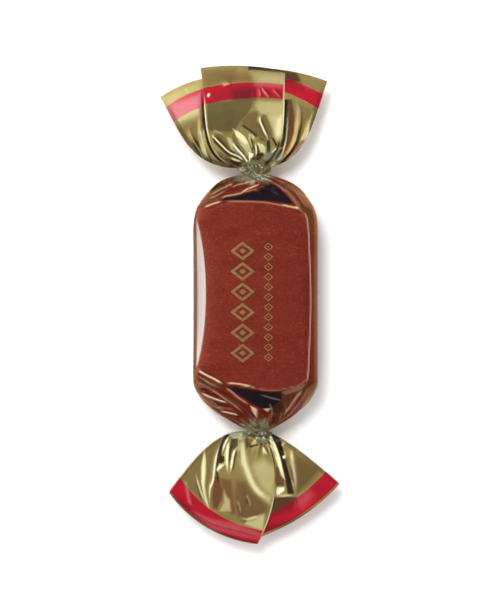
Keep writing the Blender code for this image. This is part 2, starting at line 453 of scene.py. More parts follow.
@dataclass
class Sheet:
    """A grid of points that becomes a mesh."""

    name: str  # of the piece
    points: Array  # rows by columns by x, y and z in mm
    marks: Marks  # what its folds leave on it
    closed: bool = False  # whether the last column joins the first; both its ends are then capped
    uv: Array | None = None  # rows by columns by two coordinates on the film, or None
    flip: bool = False  # whether its faces have to be turned round to point outwards

    def faces(self) -> Array:
        """Lists the corners of each square of the grid.

        Returns:
            Squares by four corners, each the number of a point.
        """
        rows, columns = self.points.shape[:2]
        number = np.arange(rows * columns).reshape(rows, columns)
        if self.closed:
            number = np.concatenate((number, number[:, :1]), axis=1)
        corners = (number[:-1, :-1], number[:-1, 1:], number[1:, 1:], number[1:, :-1])
        if self.flip:
            corners = corners[::-1]
        return np.stack(corners, axis=-1).reshape(-1, 4)

    def build(self) -> Object:
        """Makes the object, in metres, at the origin.

        Returns:
            The object, linked to the scene.
        """
        faces = self.faces().tolist()
        if self.closed:
            rows, columns = self.points.shape[:2]
            last = list(range((rows - 1) * columns, rows * columns))
            faces += [list(range(columns)), last[::-1]]
        mesh = bpy.data.meshes.new(self.name)
        mesh.from_pydata((self.points.reshape(-1, 3) * MM).tolist(), [], faces)
        if self.uv is not None:
            corner = np.zeros(len(mesh.loops), int)
            mesh.loops.foreach_get("vertex_index", corner)
            layer = mesh.uv_layers.new(name="film")
            layer.uv.foreach_set("vector", self.uv.reshape(-1, 2)[corner].astype(np.float32).ravel())
        for name in Marks.NAMES[1:]:
            attribute = mesh.attributes.new(name, "FLOAT", "POINT")
            values = getattr(self.marks, name).astype(np.float32)
            attribute.data.foreach_set("value", values.ravel())
        mesh.shade_smooth()
        obj = bpy.data.objects.new(self.name, mesh)
        bpy.context.scene.collection.objects.link(obj)
        return obj


def settle(obj: Object, sharp_degrees: float | None = None) -> None:
    """Turns an object and its modifiers into a plain mesh.

    Args:
        obj: the object.
        sharp_degrees: edges that turn by more than this are shaded sharp.
    """
    bpy.context.view_layer.update()
    graph = bpy.context.evaluated_depsgraph_get()
    plain = bpy.data.meshes.new_from_object(obj.evaluated_get(graph))
    obj.modifiers.clear()
    obj.data = plain
    if sharp_degrees is not None:
        plain.set_sharp_from_angle(angle=math.radians(sharp_degrees))


def hand_over(obj: Object) -> None:
    """Fixes a finished piece to the frame and reports it.

    Args:
        obj: the piece.
    """
    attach(obj, BODY)
    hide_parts(CAD_NODE)
    triangles = sum(len(polygon.vertices) - 2 for polygon in obj.data.polygons)
    LOG.info("%s: %d triangles", obj.name, triangles)


# ------------------------------------------------------------------------- materials


def rgba(colour: Colour) -> tuple[float, float, float, float]:
    """A linear colour with full alpha."""
    return (*colour, 1.0)


class Weave:
    """A node tree with short ways to add and join nodes."""

    def __init__(self, tree: bpy.types.NodeTree) -> None:
        """Keeps the tree."""
        self.tree = tree

    def feed(self, socket: Socket, value: Value) -> None:
        """Gives an input socket a constant, or joins it to the socket that feeds it.

        Args:
            socket: the input.
            value: the constant or the socket.
        """
        if isinstance(value, Socket):
            self.tree.links.new(value, socket)
        else:
            socket.default_value = value

    def node(self, kind: str, inputs: dict | None = None, **settings: object) -> Node:
        """Adds a node.

        Args:
            kind: its type, as Blender names it.
            inputs: by socket name or number, a constant or the socket that feeds it.
            settings: its other properties.

        Returns:
            The node.
        """
        node = self.tree.nodes.new(kind)
        for name, value in settings.items():
            setattr(node, name, value)
        for key, value in (inputs or {}).items():
            self.feed(node.inputs[key], value)
        return node

    def math(self, operation: str, *values: Value, clamp: bool = False) -> Socket:
        """Adds a Math node and returns its value."""
        inputs = dict(enumerate(values))
        return self.node("ShaderNodeMath", inputs, operation=operation, use_clamp=clamp).outputs[0]

    def plus(self, *values: Value) -> Socket:
        """Adds values up."""
        return reduce(lambda total, value: self.math("ADD", total, value), values)

    def minus(self, first: Value, second: Value) -> Socket:
        """The first value less the second."""
        return self.math("SUBTRACT", first, second)

    def times(self, *values: Value) -> Socket:
        """Multiplies values."""
        return reduce(lambda total, value: self.math("MULTIPLY", total, value), values)

    def between(self, low: Value, high: Value, share: Value) -> Socket:
        """The value that stands at a share of the way from low to high."""
        return self.math("MULTIPLY_ADD", share, self.minus(high, low), low)

    def less(self, value: Value, mask: Value, share: float) -> Socket:
        """A value that loses a share of itself where the mask is 1."""
        return self.times(value, self.math("MULTIPLY_ADD", mask, -share, 1.0))

    def mix(self, factor: Value, first: Value, second: Value, blend: str = "MIX") -> Socket:
        """Mixes two colours, each a socket or a linear colour, and returns the result.

        Args:
            factor: share of the second colour.
            first: the first colour.
            second: the second colour.
            blend: how they are mixed, as Blender names it.

        Returns:
            The mixed colour.
        """
        node = self.node("ShaderNodeMix", data_type="RGBA", blend_type=blend)
        for number, value in {0: factor, 6: first, 7: second}.items():
            self.feed(node.inputs[number], rgba(value) if isinstance(value, tuple) else value)
        return node.outputs[2]

    def ramp(self, value: Value, low: float, high: float, to_low: float = 0.0,
             to_high: float = 1.0) -> Socket:
        """Eases a value between two limits and returns it.

        Args:
            value: what is eased.
            low: the limit that gives to_low.
            high: the limit that gives to_high.
            to_low: the result at low.
            to_high: the result at high.

        Returns:
            The eased value.
        """
        inputs = {"Value": value, "From Min": low, "From Max": high,
                  "To Min": to_low, "To Max": to_high}
        return self.node("ShaderNodeMapRange", inputs, interpolation_type="SMOOTHSTEP").outputs[0]

    def parts(self, vector: Socket) -> tuple[Socket, ...]:
        """The x, y and z of a vector."""
        return tuple(self.node("ShaderNodeSeparateXYZ", {0: vector}).outputs)

    def noise(self, place: Socket, scale: Value, detail: float, roughness: float = 0.5) -> Socket:
        """Adds a Noise texture and returns its value."""
        return self.node("ShaderNodeTexNoise", {"Vector": place, "Scale": scale, "Detail": detail,
                                                "Roughness": roughness}).outputs[0]


@dataclass(frozen=True)
class SharedEffect:
    """A shader node group that several materials use."""

    name: str  # of the group
    # inputs: its numbers with their defaults, besides a vector. Scales are per metre
    inputs: tuple[tuple[str, float], ...]
    outputs: tuple[str, ...]  # the names of what it puts out

    def fill(self, weave: Weave, given: Outputs) -> tuple[Socket, ...]:
        """Adds the group's nodes and returns what they put out, in the outputs' order."""
        raise NotImplementedError

    def group(self) -> bpy.types.NodeTree:
        """Finds the group, or makes it the first time.

        Returns:
            The node group.
        """
        if self.name in bpy.data.node_groups:
            return bpy.data.node_groups[self.name]
        tree = bpy.data.node_groups.new(self.name, "ShaderNodeTree")
        new_socket = tree.interface.new_socket
        new_socket("Vector", in_out="INPUT", socket_type="NodeSocketVector")
        for label, default in self.inputs:
            socket = new_socket(label, in_out="INPUT", socket_type="NodeSocketFloat")
            socket.default_value = default
        for label in self.outputs:
            new_socket(label, in_out="OUTPUT", socket_type="NodeSocketFloat")
        weave = Weave(tree)
        given, put = weave.node("NodeGroupInput"), weave.node("NodeGroupOutput")
        for label, socket in zip(self.outputs, self.fill(weave, given.outputs)):
            weave.feed(put.inputs[label], socket)
        return tree


@dataclass(frozen=True)
class Scuffs(SharedEffect):
    """Hair-fine scratches and the slow waviness of handled film."""

    name: str = "film_scuffs"
    inputs: tuple[tuple[str, float], ...] = (
        ("Scratch Scale", 900.0), ("Wave Scale", 260.0), ("Scratches", 0.4))
    outputs: tuple[str, ...] = ("Height",)
    slant: float = 0.6  # radians
    stretch: float = 0.08  # of a scratch's width to its length
    width: float = 0.025
    patches: Point = (0.5, 0.65)  # of the noise, where there are scratches
    depth: float = 0.2  # of a scratch against the waves

    def fill(self, weave: Weave, given: Outputs) -> tuple[Socket, ...]:
        """Adds the nodes: waves less the scratches.

        Args:
            weave: the group's nodes.
            given: what the group is given.

        Returns:
            The relief's height, from 0 to 1.
        """
        place, wave_scale = given["Vector"], given["Wave Scale"]
        turned = weave.node("ShaderNodeMapping", {
            "Vector": place, "Rotation": (0.0, 0.0, self.slant), "Scale": (1.0, self.stretch, 1.0)})
        cells = weave.node("ShaderNodeTexVoronoi", {
            "Vector": turned.outputs[0], "Scale": given["Scratch Scale"]},
            feature="DISTANCE_TO_EDGE")
        line = weave.times(weave.ramp(cells.outputs[0], self.width, 0.0),
                           weave.ramp(weave.noise(place, wave_scale, 2.0), *self.patches))
        scratches = weave.times(line, given["Scratches"], self.depth)
        return (weave.minus(weave.noise(place, wave_scale, 3.0), scratches),)


@dataclass(frozen=True)
class PrintGrain(SharedEffect):
    """The fine uneven laydown of ink on film."""

    name: str = "print_grain"
    inputs: tuple[tuple[str, float], ...] = (("Dot Scale", 4200.0), ("Cloud Scale", 420.0))
    outputs: tuple[str, ...] = ("Dots", "Clouds")
    stretch: float = 0.5  # how much coarser it is across the film
    limits: Point = (0.3, 0.7)  # of the noise

    def fill(self, weave: Weave, given: Outputs) -> tuple[Socket, ...]:
        """Adds the nodes: fine dots and soft clouds.

        Args:
            weave: the group's nodes.
            given: what the group is given.

        Returns:
            The dots and the clouds, from 0 to 1.
        """
        drawn = weave.node("ShaderNodeMapping", {"Vector": given["Vector"],
                                                 "Scale": (self.stretch, 1.0, 1.0)}).outputs[0]
        dots = weave.noise(drawn, given["Dot Scale"], 2.0, 0.7)
        clouds = weave.noise(drawn, given["Cloud Scale"], 4.0, 0.6)
        return weave.ramp(dots, *self.limits), weave.ramp(clouds, *self.limits)


class FilmTree(Weave):
    """The node tree of a material, with what the film's materials share."""

    def __init__(self, name: str) -> None:
        """Starts a material of this name.

        Args:
            name: of the material.
        """
        self.material = bpy.data.materials.new(name)
        self.material.use_nodes = True
        super().__init__(self.material.node_tree)
        self.place = self.node("ShaderNodeTexCoord").outputs["Object"]

    def mark(self, name: str) -> Socket:
        """Reads one of the marks that the folds leave."""
        node = self.node("ShaderNodeAttribute", attribute_type="GEOMETRY", attribute_name=name)
        return node.outputs["Fac"]

    def grain(self, clouds: float = 420.0) -> tuple[Socket, Socket]:
        """Adds the print's grain and returns its dots and its clouds, of a given scale.

        Args:
            clouds: the clouds' scale, per metre.

        Returns:
            The dots and the clouds.
        """
        inputs = {"Vector": self.place, "Cloud Scale": clouds}
        node = self.node("ShaderNodeGroup", node_tree=PrintGrain().group(), inputs=inputs)
        return node.outputs["Dots"], node.outputs["Clouds"]

    def scuffed(self, strength: float, depth: float, scratches: float = 0.4,
                wave: float = 260.0) -> Socket:
        """Adds the scuffs as a bump.

        Args:
            strength: of the bump.
            depth: of the bump in mm.
            scratches: how strong the scratches are.
            wave: scale of the waviness.

        Returns:
            The normal.
        """
        inputs = {"Vector": self.place, "Scratches": scratches, "Wave Scale": wave}
        node = self.node("ShaderNodeGroup", node_tree=Scuffs().group(), inputs=inputs)
        inputs = {"Strength": strength, "Distance": depth * MM, "Height": node.outputs["Height"]}
        return self.node("ShaderNodeBump", inputs).outputs[0]

    def oval(self, centre: Point, reach: Point, soft: float = 0.25,
             ragged: float = 0.0) -> Socket:
        """Masks an upright column of oval section.

        Args:
            centre: of the oval, in mm.
            reach: half its size, in mm.
            soft: how much of that its edge takes on either side.
            ragged: how far its edge runs in and out in points, as the film's folds do.

        Returns:
            1 inside it and 0 outside.
        """
        scale = [1.0 / (size * MM) for size in reach]
        shift = [-middle * MM * factor for middle, factor in zip(centre, scale)]
        moved = self.node("ShaderNodeMapping", {"Vector": self.place, "Location": (*shift, 0.0),
                                                "Scale": (*scale, 0.0)}).outputs[0]
        away = self.node("ShaderNodeVectorMath", {0: moved}, operation="LENGTH").outputs["Value"]
        if ragged:
            x, y, _ = self.parts(moved)
            angle = self.math("ARCTAN2", x, y)
            for folds, share, turn in ((9.0, 0.6, 1.0), (23.0, 0.4, 2.0)):
                points = self.math("SINE", self.math("MULTIPLY_ADD", angle, folds, turn))
                away = self.math("MULTIPLY_ADD", points, share * ragged, away)
        return self.ramp(away, 1.0 + soft, 1.0 - soft)

    def finish(self, constants: dict[str, Value], fed: dict[str, Socket]) -> bpy.types.Material:
        """Sets the shader.

        Args:
            constants: what its inputs are set to, also beneath those that are fed.
            fed: the sockets that feed some of them.

        Returns:
            The material.
        """
        shader = self.tree.nodes["Principled BSDF"]
        for name, value in (*constants.items(), *fed.items()):
            self.feed(shader.inputs[name], value)
        return self.material


def gloss(metallic: float, roughness: float, coat: float, coat_roughness: float = 0.06,
          coat_ior: float = 1.5) -> dict[str, Value]:
    """The shader's constant numbers, by the names of its inputs."""
    return {"Metallic": metallic, "Roughness": roughness, "Coat Weight": coat,
            "Coat Roughness": coat_roughness, "Coat IOR": coat_ior}


@dataclass(frozen=True)
class PrintedBody:
    """The red-brown printed middle of the sheet, translucent ink over the metal.

    A pair of limits is where something starts to show and where it is full. The long
    highlight on the bar's left comes from a coat that only an oval there has; the film
    under it is darkened with painted shade.
    """

    name: str = "red_brown_print"
    ink: Colour = (0.202, 0.0240, 0.0130)
    deep_ink: Colour = (0.120, 0.0115, 0.0058)
    rubbed_ink: Colour = (0.27, 0.060, 0.028)
    side_ink: Colour = (0.16, 0.052, 0.024)
    # where the film is stretched pale, and where highlights are painted
    pale_ink: Colour = (0.23, 0.088, 0.034)
    # where crests are rubbed bare, and where glints are painted
    bare: Colour = (0.64, 0.43, 0.27)
    # painted shade
    dusk: Colour = (0.016, 0.012, 0.015)
    pinched: Colour = (0.34, 0.34, 0.22)
    edge_tint: Colour = (0.86, 0.58, 0.40)  # of what the film shows at a glancing angle
    dots: float = 0.6  # their share of the ink's mottle, against the clouds
    speck_scale: float = 2600.0  # per metre
    speck_limits: Point = (0.56, 0.76)
    speck_share: float = 0.32
    streak_scale: float = 520.0  # per metre
    dry: tuple[float, ...] = (0.25, 0.65, 0.35, 1.15)  # what the streaks make of what is pale
    crushed: tuple[float, ...] = (0.34, 0.52, 0.4, 1.0)  # and of what is pinched
    necks: tuple[Point, Point] = ((-0.5, 20.8), (0.3, -20.9))  # mm, where it is pinched
    neck_reach: tuple[Point, Point] = ((3.7, 1.6), (2.7, 2.1))  # mm, half the oval round each
    neck_soft: float = 0.22  # of that, the width of the oval's edge
    neck_ragged: float = 0.24  # of that, how far its edge runs in and out
    flank: Point = (8.7, 9.5)  # mm to either side, where the face turns into the flank
    sheen: Point = (2.5, 6.0)  # mm above the table, where the flanks and folds grow paler
    lens: tuple[Point, Point] = ((-12.4, 1.5), (4.45, 15.8))  # mm, the highlight's oval
    lens_edges: Point = (0.03, 0.25)  # of the highlight, and of the darker film round it
    lens_left: Point = (-9.60, -9.25)  # mm, how the highlight starts at the left
    round_left: Point = (-9.2, -9.6)  # mm, how the darker film does
    coat: Point = (0.075, 0.01)  # on the face and on the flanks
    coat_loss: float = 0.85  # where the film is stretched pale and where highlights are painted
    relief: Point = (0.25, 0.02)  # how strongly its dots show, and how high they are in mm
    metal: float = 0.45
    pale_metal: float = 0.3  # more, where the film is stretched pale and where highlights are painted
    crest_loss: float = 0.7  # of the metal
    lens_loss: float = 0.85
    # lens_dark: how far painted shade darkens the film under the long highlight
    lens_dark: float = 0.5

    def highlight(self, film: FilmTree, x: Socket, upper: Socket) -> tuple[Socket, Socket]:
        """Masks the long highlight on the left.

        Args:
            film: the material's tree.
            x: how far to the right the film is, in metres.
            upper: 0 low on the flanks and 1 above.

        Returns:
            The mask of the highlight, and that of the film round it.
        """
        clear, dark = self.lens_edges
        inside = film.oval(*self.lens, soft=clear)
        glossy = film.times(inside, film.ramp(x, *(edge * MM for edge in self.lens_left)), upper)
        near = film.math("MAXIMUM", film.oval(*self.lens, soft=dark),
                         film.ramp(x, *(edge * MM for edge in self.round_left)))
        return glossy, near

    def material(self) -> bpy.types.Material:
        """Builds the material.

        Returns:
            The material.
        """
        film = FilmTree(self.name)
        x, _, z = film.parts(film.place)
        dots, clouds = film.grain()
        upper = film.ramp(z, *(height * MM for height in self.sheen))
        flank = film.ramp(film.math("ABSOLUTE", x), *(edge * MM for edge in self.flank))
        specks = film.ramp(film.noise(film.place, self.speck_scale, 1.0), *self.speck_limits)
        streaks = film.noise(film.place, self.streak_scale, 4.0, 0.7)
        pale = film.times(film.mark("pale"), upper)
        pale = film.math("MULTIPLY", pale, film.ramp(streaks, *self.dry), clamp=True)
        crushed = film.ramp(streaks, *self.crushed)
        crest = film.mark("crest")
        glossy, near = self.highlight(film, x, upper)

        colour = film.mix(film.between(clouds, dots, self.dots), self.deep_ink, self.ink)
        colour = film.mix(film.times(flank, upper), colour, self.side_ink)
        colour = film.mix(film.times(specks, self.speck_share), colour, self.rubbed_ink)
        # Pale where the film is stretched and where highlights are painted.
        colour = film.mix(pale, colour, self.pale_ink)
        for neck, reach in zip(self.necks, self.neck_reach):
            oval = film.oval(neck, reach, self.neck_soft, self.neck_ragged)
            colour = film.mix(film.times(crushed, oval), colour, self.pinched)
        # Painted shade, worn crests with painted glints, and painted shade under the long highlight.
        colour = film.mix(film.mark("dusk"), colour, self.dusk)
        colour = film.mix(crest, colour, self.bare)
        colour = film.mix(film.times(glossy, self.lens_dark), colour, self.dusk)

        metal = film.math("MULTIPLY_ADD", pale, self.pale_metal, self.metal)
        metal = film.less(film.less(metal, crest, self.crest_loss), near, self.lens_loss)
        coat = film.less(film.between(*self.coat, flank), pale, self.coat_loss)
        coat = film.math("MAXIMUM", coat, glossy)
        strength, proud = self.relief
        fine = film.node("ShaderNodeBump", {"Strength": strength, "Distance": proud * MM,
                                            "Height": dots,
                                            "Normal": film.scuffed(0.2, 0.05, scratches=0.2)})
        constants = {**gloss(0.5, 0.28, coat=0.5, coat_roughness=0.04, coat_ior=2.6),
                     "Specular IOR Level": 0.1, "Specular Tint": rgba(self.edge_tint)}
        return film.finish(constants, {"Base Color": colour, "Metallic": metal,
                                       "Coat Weight": coat, "Normal": fine.outputs[0]})


@dataclass(frozen=True)
class FanFilm:
    """Bare gold film with a red stripe near its cut edge, where the UV map says."""

    name: str = "gold_film"
    necks: tuple[tuple[Point, Point], ...] = ()  # mm, middle and half size of what is pinched
    gold: Colour = (0.72, 0.60, 0.22)
    bronze: Colour = (0.58, 0.46, 0.15)
    # painted highlights on the gold
    straw: Colour = (0.90, 0.88, 0.46)
    # painted brown reflections on the gold
    brown: Colour = (0.40, 0.165, 0.068)
    # painted shade on the gold
    dusk: Colour = (0.050, 0.036, 0.022)
    # where crests are rubbed bare, and where glints are painted
    bare: Colour = (1.0, 0.95, 0.66)
    pinched: Colour = (0.31, 0.32, 0.19)
    red: Colour = (0.63, 0.002, 0.026)
    # the darker red of the mottle, also the painted brown reflections on the red
    deep_red: Colour = (0.48, 0.001, 0.018)
    # painted highlights on the red
    pink: Colour = (0.70, 0.33, 0.36)
    # painted shade on the red
    dim_red: Colour = (0.10, 0.004, 0.008)
    cloud_scale: float = 150.0  # per metre
    dots: float = 0.25  # their share of the mottle, against the clouds
    stripe_edge: float = 0.025  # half the width of its edge, as a share of the stripe
    stripe_loss: float = 0.35  # of the metal
    pale_loss: float = 0.45
    crest_loss: float = 0.6
    pinched_loss: float = 0.3

    def material(self) -> bpy.types.Material:
        """Builds the material.

        Returns:
            The material.
        """
        film = FilmTree(self.name)
        dots, clouds = film.grain(self.cloud_scale)
        mottle = film.between(clouds, dots, self.dots)
        sheet = film.node("ShaderNodeUVMap", uv_map="film").outputs[0]
        _, across, _ = film.parts(sheet)
        soft = self.stripe_edge
        striped = film.times(film.ramp(across, -soft, soft),
                             film.ramp(across, 1.0 + soft, 1.0 - soft))
        pinched = [film.oval(*neck) for neck in self.necks]
        marks = {name: film.mark(name) for name in ("warm", "pale", "dusk", "crest")}

        gold = film.mix(mottle, self.bronze, self.gold)
        for near in pinched:
            gold = film.mix(near, gold, self.pinched)
        red = film.mix(mottle, self.deep_red, self.red)
        # Painted brown reflections, painted highlights and painted shade, on the gold and on the red.
        tones = (("warm", self.brown, self.deep_red), ("pale", self.straw, self.pink),
                 ("dusk", self.dusk, self.dim_red))
        for name, on_gold, on_red in tones:
            gold = film.mix(marks[name], gold, on_gold)
            red = film.mix(marks[name], red, on_red)
        # Worn crests and painted glints turn pale gold.
        colour = film.mix(marks["crest"], film.mix(striped, gold, red), self.bare)

        metal = film.math("MULTIPLY_ADD", striped, -self.stripe_loss, 1.0)
        metal = film.less(metal, marks["pale"], self.pale_loss)
        metal = film.less(metal, marks["crest"], self.crest_loss)
        for near in pinched:
            metal = film.less(metal, near, self.pinched_loss)
        return film.finish(gloss(1.0, 0.24, coat=0.4), {"Base Color": colour, "Metallic": metal,
                                                        "Normal": film.scuffed(0.3, 0.05)})


@dataclass(frozen=True)
class FilmInside:
    """The dull inner face of the film."""

    name: str = "film_inside"
    colour: Colour = (0.30, 0.17, 0.09)
    shade: Colour = (0.20, 0.11, 0.06)

    def material(self) -> bpy.types.Material:
        """Builds the material.

        Returns:
            The material.
        """
        film = FilmTree(self.name)
        _, clouds = film.grain()
        colour = film.mix(clouds, self.shade, self.colour)
        return film.finish(gloss(0.45, 0.4, coat=0.2), {"Base Color": colour})


@dataclass(frozen=True)
class PinchedFilm:
    """The crushed film of a twist, grey-green from its many tiny facets."""

    name: str = "pinched_film"
    light: Colour = (0.56, 0.56, 0.36)
    dark: Colour = (0.16, 0.14, 0.07)
    cloud_scale: float = 900.0  # per metre
    wave_scale: float = 1500.0
    dots: float = 0.3  # their share of the mottle, against the clouds

    def material(self) -> bpy.types.Material:
        """Builds the material.

        Returns:
            The material.
        """
        film = FilmTree(self.name)
        dots, clouds = film.grain(self.cloud_scale)
        colour = film.mix(film.between(clouds, dots, self.dots), self.dark, self.light)
        normal = film.scuffed(0.5, 0.12, wave=self.wave_scale)
        return film.finish(gloss(0.9, 0.3, coat=0.4), {"Base Color": colour, "Normal": normal})


@dataclass(frozen=True)
class GoldInk:
    """Flat gold ink printed on the red-brown."""

    name: str = "gold_ink"
    light: Colour = (0.42, 0.28, 0.11)
    dark: Colour = (0.29, 0.18, 0.075)

    def material(self) -> bpy.types.Material:
        """Builds the material.

        Returns:
            The material.
        """
        film = FilmTree(self.name)
        dots, _ = film.grain()
        colour = film.mix(dots, self.dark, self.light)
        return film.finish(gloss(0.85, 0.35, coat=0.3), {"Base Color": colour})


# ------------------------------------------------------------------------- the bar


@dataclass(frozen=True)
class BarEnd:
    """How the wrapped bar closes down to one of its two twists, in mm."""

    side: Side  # which end it is
    straight: float  # from the middle, where the sides start to close
    face_end: float  # where the flat top face ends, at its corners
    face_bow: float  # how much further the face runs in its middle
    face_skew: float  # how far to the right it runs furthest
    twist: float  # where the twist is
    twist_x: float  # how far the twist stands to the right
    twist_height: float = field(default=6.0, kw_only=True)  # of its axis over the table
    twist_radius: float = field(default=1.35, kw_only=True)  # of the film round it
    power: float  # shape of the closing
    root: float  # the same, near the twist
    knee: Point  # where the top bends on its way down, as shares of the way and of the fall
    # folds: past the end of the face, in the bar's plan with y measured outwards
    folds: tuple[Fold | Patch, ...] = ()
    scatter: CreaseScatter | None = None  # the small creases among them
    crumple: Crumple | None = None  # the facets of the film that is pulled together

    def closing(self, along: Array) -> Array:
        """1 where the bar is full width, 0 at the twist."""
        share = np.clip((along - self.straight) / (self.twist - self.straight), 0.0, 1.0)
        return (1.0 - share**self.power) ** self.root

    def reach(self, open_share: Array) -> Array:
        """How far out the bar has closed to this share of its width."""
        share = (1.0 - open_share ** (1.0 / self.root)) ** (1.0 / self.power)
        return self.straight + (self.twist - self.straight) * share

    def falling(self, along: Array, start: Array | float) -> Array:
        """0 before start, 1 at the twist."""
        return np.clip((along - start) / (self.twist - start), 0.0, 1.0)

    def face_edge(self, x: Array, half_width: float) -> Array:
        """Where the face ends for each x."""
        off = np.clip((x - self.face_skew) / (half_width + abs(self.face_skew)), -1.0, 1.0)
        return self.face_end + self.face_bow * (1.0 - off**2)


# The ends' patches and folds paint shade, highlights and glints onto the film, beside its wear and its
# relief.
HEAD_END = BarEnd(
    Side.HEAD, straight=11.0, face_end=14.6, face_bow=1.5, face_skew=-1.0, twist=20.7,
    twist_x=-0.2, power=2.7, root=0.7, knee=(0.5, 0.36),
    folds=(
        # The pleat in painted shade, and the film on both sides of it, pulled pale and with painted
        # highlights.
        Patch(((-5.4, 16.35), (-4.8, 16.8), (-2.5, 17.2), (-0.6, 17.7), (0.8, 18.2), (1.6, 18.7),
               (2.6, 19.1), (3.4, 18.8), (4.1, 18.0), (4.7, 17.3), (5.5, 16.5), (6.2, 15.8), (4.5, 16.0),
               (2.3, 16.2), (-0.1, 16.3), (-2.5, 16.35)), dusk=1.0, soft=0.13),
        Patch(((2.4, 20.6), (3.3, 19.3), (5.0, 17.9), (6.4, 16.0), (7.4, 14.4), (8.6, 11.0), (10.4, 11.0),
               (10.4, 17.0), (6.0, 21.5)), pale=0.8, soft=0.5),
        Patch(((-9.6, 14.6), (-8.0, 15.5), (-6.0, 16.1), (-5.6, 16.8), (-7.2, 18.2), (-9.6, 16.6)),
              pale=0.6, soft=0.4),
        Patch(((-8.4, 16.8), (-6.9, 17.3), (-4.4, 18.7), (-3.0, 19.6), (-4.0, 20.4), (-6.4, 18.9)),
              pale=1.0, soft=0.25),
        Patch(((-3.4, 19.3), (-1.5, 19.5), (1.4, 19.9), (1.0, 21.0), (-3.0, 21.0)), pale=0.9, soft=0.3),
        Patch(((0.9, 18.6), (2.4, 18.4), (2.6, 20.0), (1.2, 20.2)), pale=0.8, dusk=0.3, soft=0.3),
        # The crease that ends the face.
        Fold(((-8.3, 15.2), (-7.2, 15.65), (-6.0, 16.05), (-5.2, 16.2)), 0.22, 0.45, 0.4, fade=0.25,
             taper=1.0, wear=1.0),
        Fold(((-5.2, 16.2), (0.4, 16.1), (2.9, 15.75), (6.8, 14.9), (7.9, 14.2)), 0.1, 0.5, 0.4,
             swell=0.1, fade=0.1, taper=1.0, wear=0.35, samples=90),
        Fold(((3.6, 15.75), (5.4, 15.35), (7.3, 15.0)), 0.05, 0.3, 0.3, swell=0.3, taper=1.0, wear=0.9),
        # The folds between the pleat and the twist, then those at its sides.
        Fold(((-5.6, 16.6), (-4.8, 17.05), (-3.5, 17.25), (-2.4, 17.5), (-1.2, 17.9), (0.4, 18.2)), 0.25,
             0.5, 0.2, swell=0.1, fade=0.3, taper=1.0, wear=0.55),
        Fold(((-2.4, 17.5), (-1.4, 18.15), (-0.4, 18.55), (0.8, 19.1)), 0.55, 0.7, 0.35, taper=0.8,
             wear=1.0),
        Fold(((-4.0, 18.5), (-2.5, 19.0), (-0.9, 19.4), (0.4, 19.75)), 0.45, 0.5, 0.5),
        Fold(((-7.3, 17.2), (-5.7, 18.15), (-4.1, 18.95), (-3.2, 19.4)), 0.4, 0.4, 0.4, dusk=(0.35, 0.0)),
        Fold(((-7.8, 16.6), (-6.4, 17.1), (-4.4, 18.2)), 0.3, 0.3, 0.3, swell=0.3, fade=0.3, wear=0.4),
        Fold(((-7.4, 17.8), (-6.6, 18.4), (-5.0, 19.3)), -0.1, 0.25, 0.25, fade=0.3, dusk=(0.9, 0.9),
             wear=0.0),
        Fold(((2.4, 19.6), (4.8, 17.9), (6.5, 15.7), (7.9, 13.4)), 0.3, 0.6, 0.6, wear=0.25),
        Fold(((3.3, 20.2), (6.2, 17.8), (8.2, 14.7)), 0.25, 0.8, 0.8, fade=0.25, wear=0.1),
    ),
    scatter=CreaseScatter(16, 5, (0.0, 21.0), (0.4, 2.2), (110.0, 250.0), (0.5, 1.6),
                          (0.04, 0.16), (0.2, 0.5), wear=0.2),
    crumple=Crumple(3, 13, 4, (95.0, 265.0), (0.7, 6.5), 0.30, 0.8, (0.0, 21.2)),
)
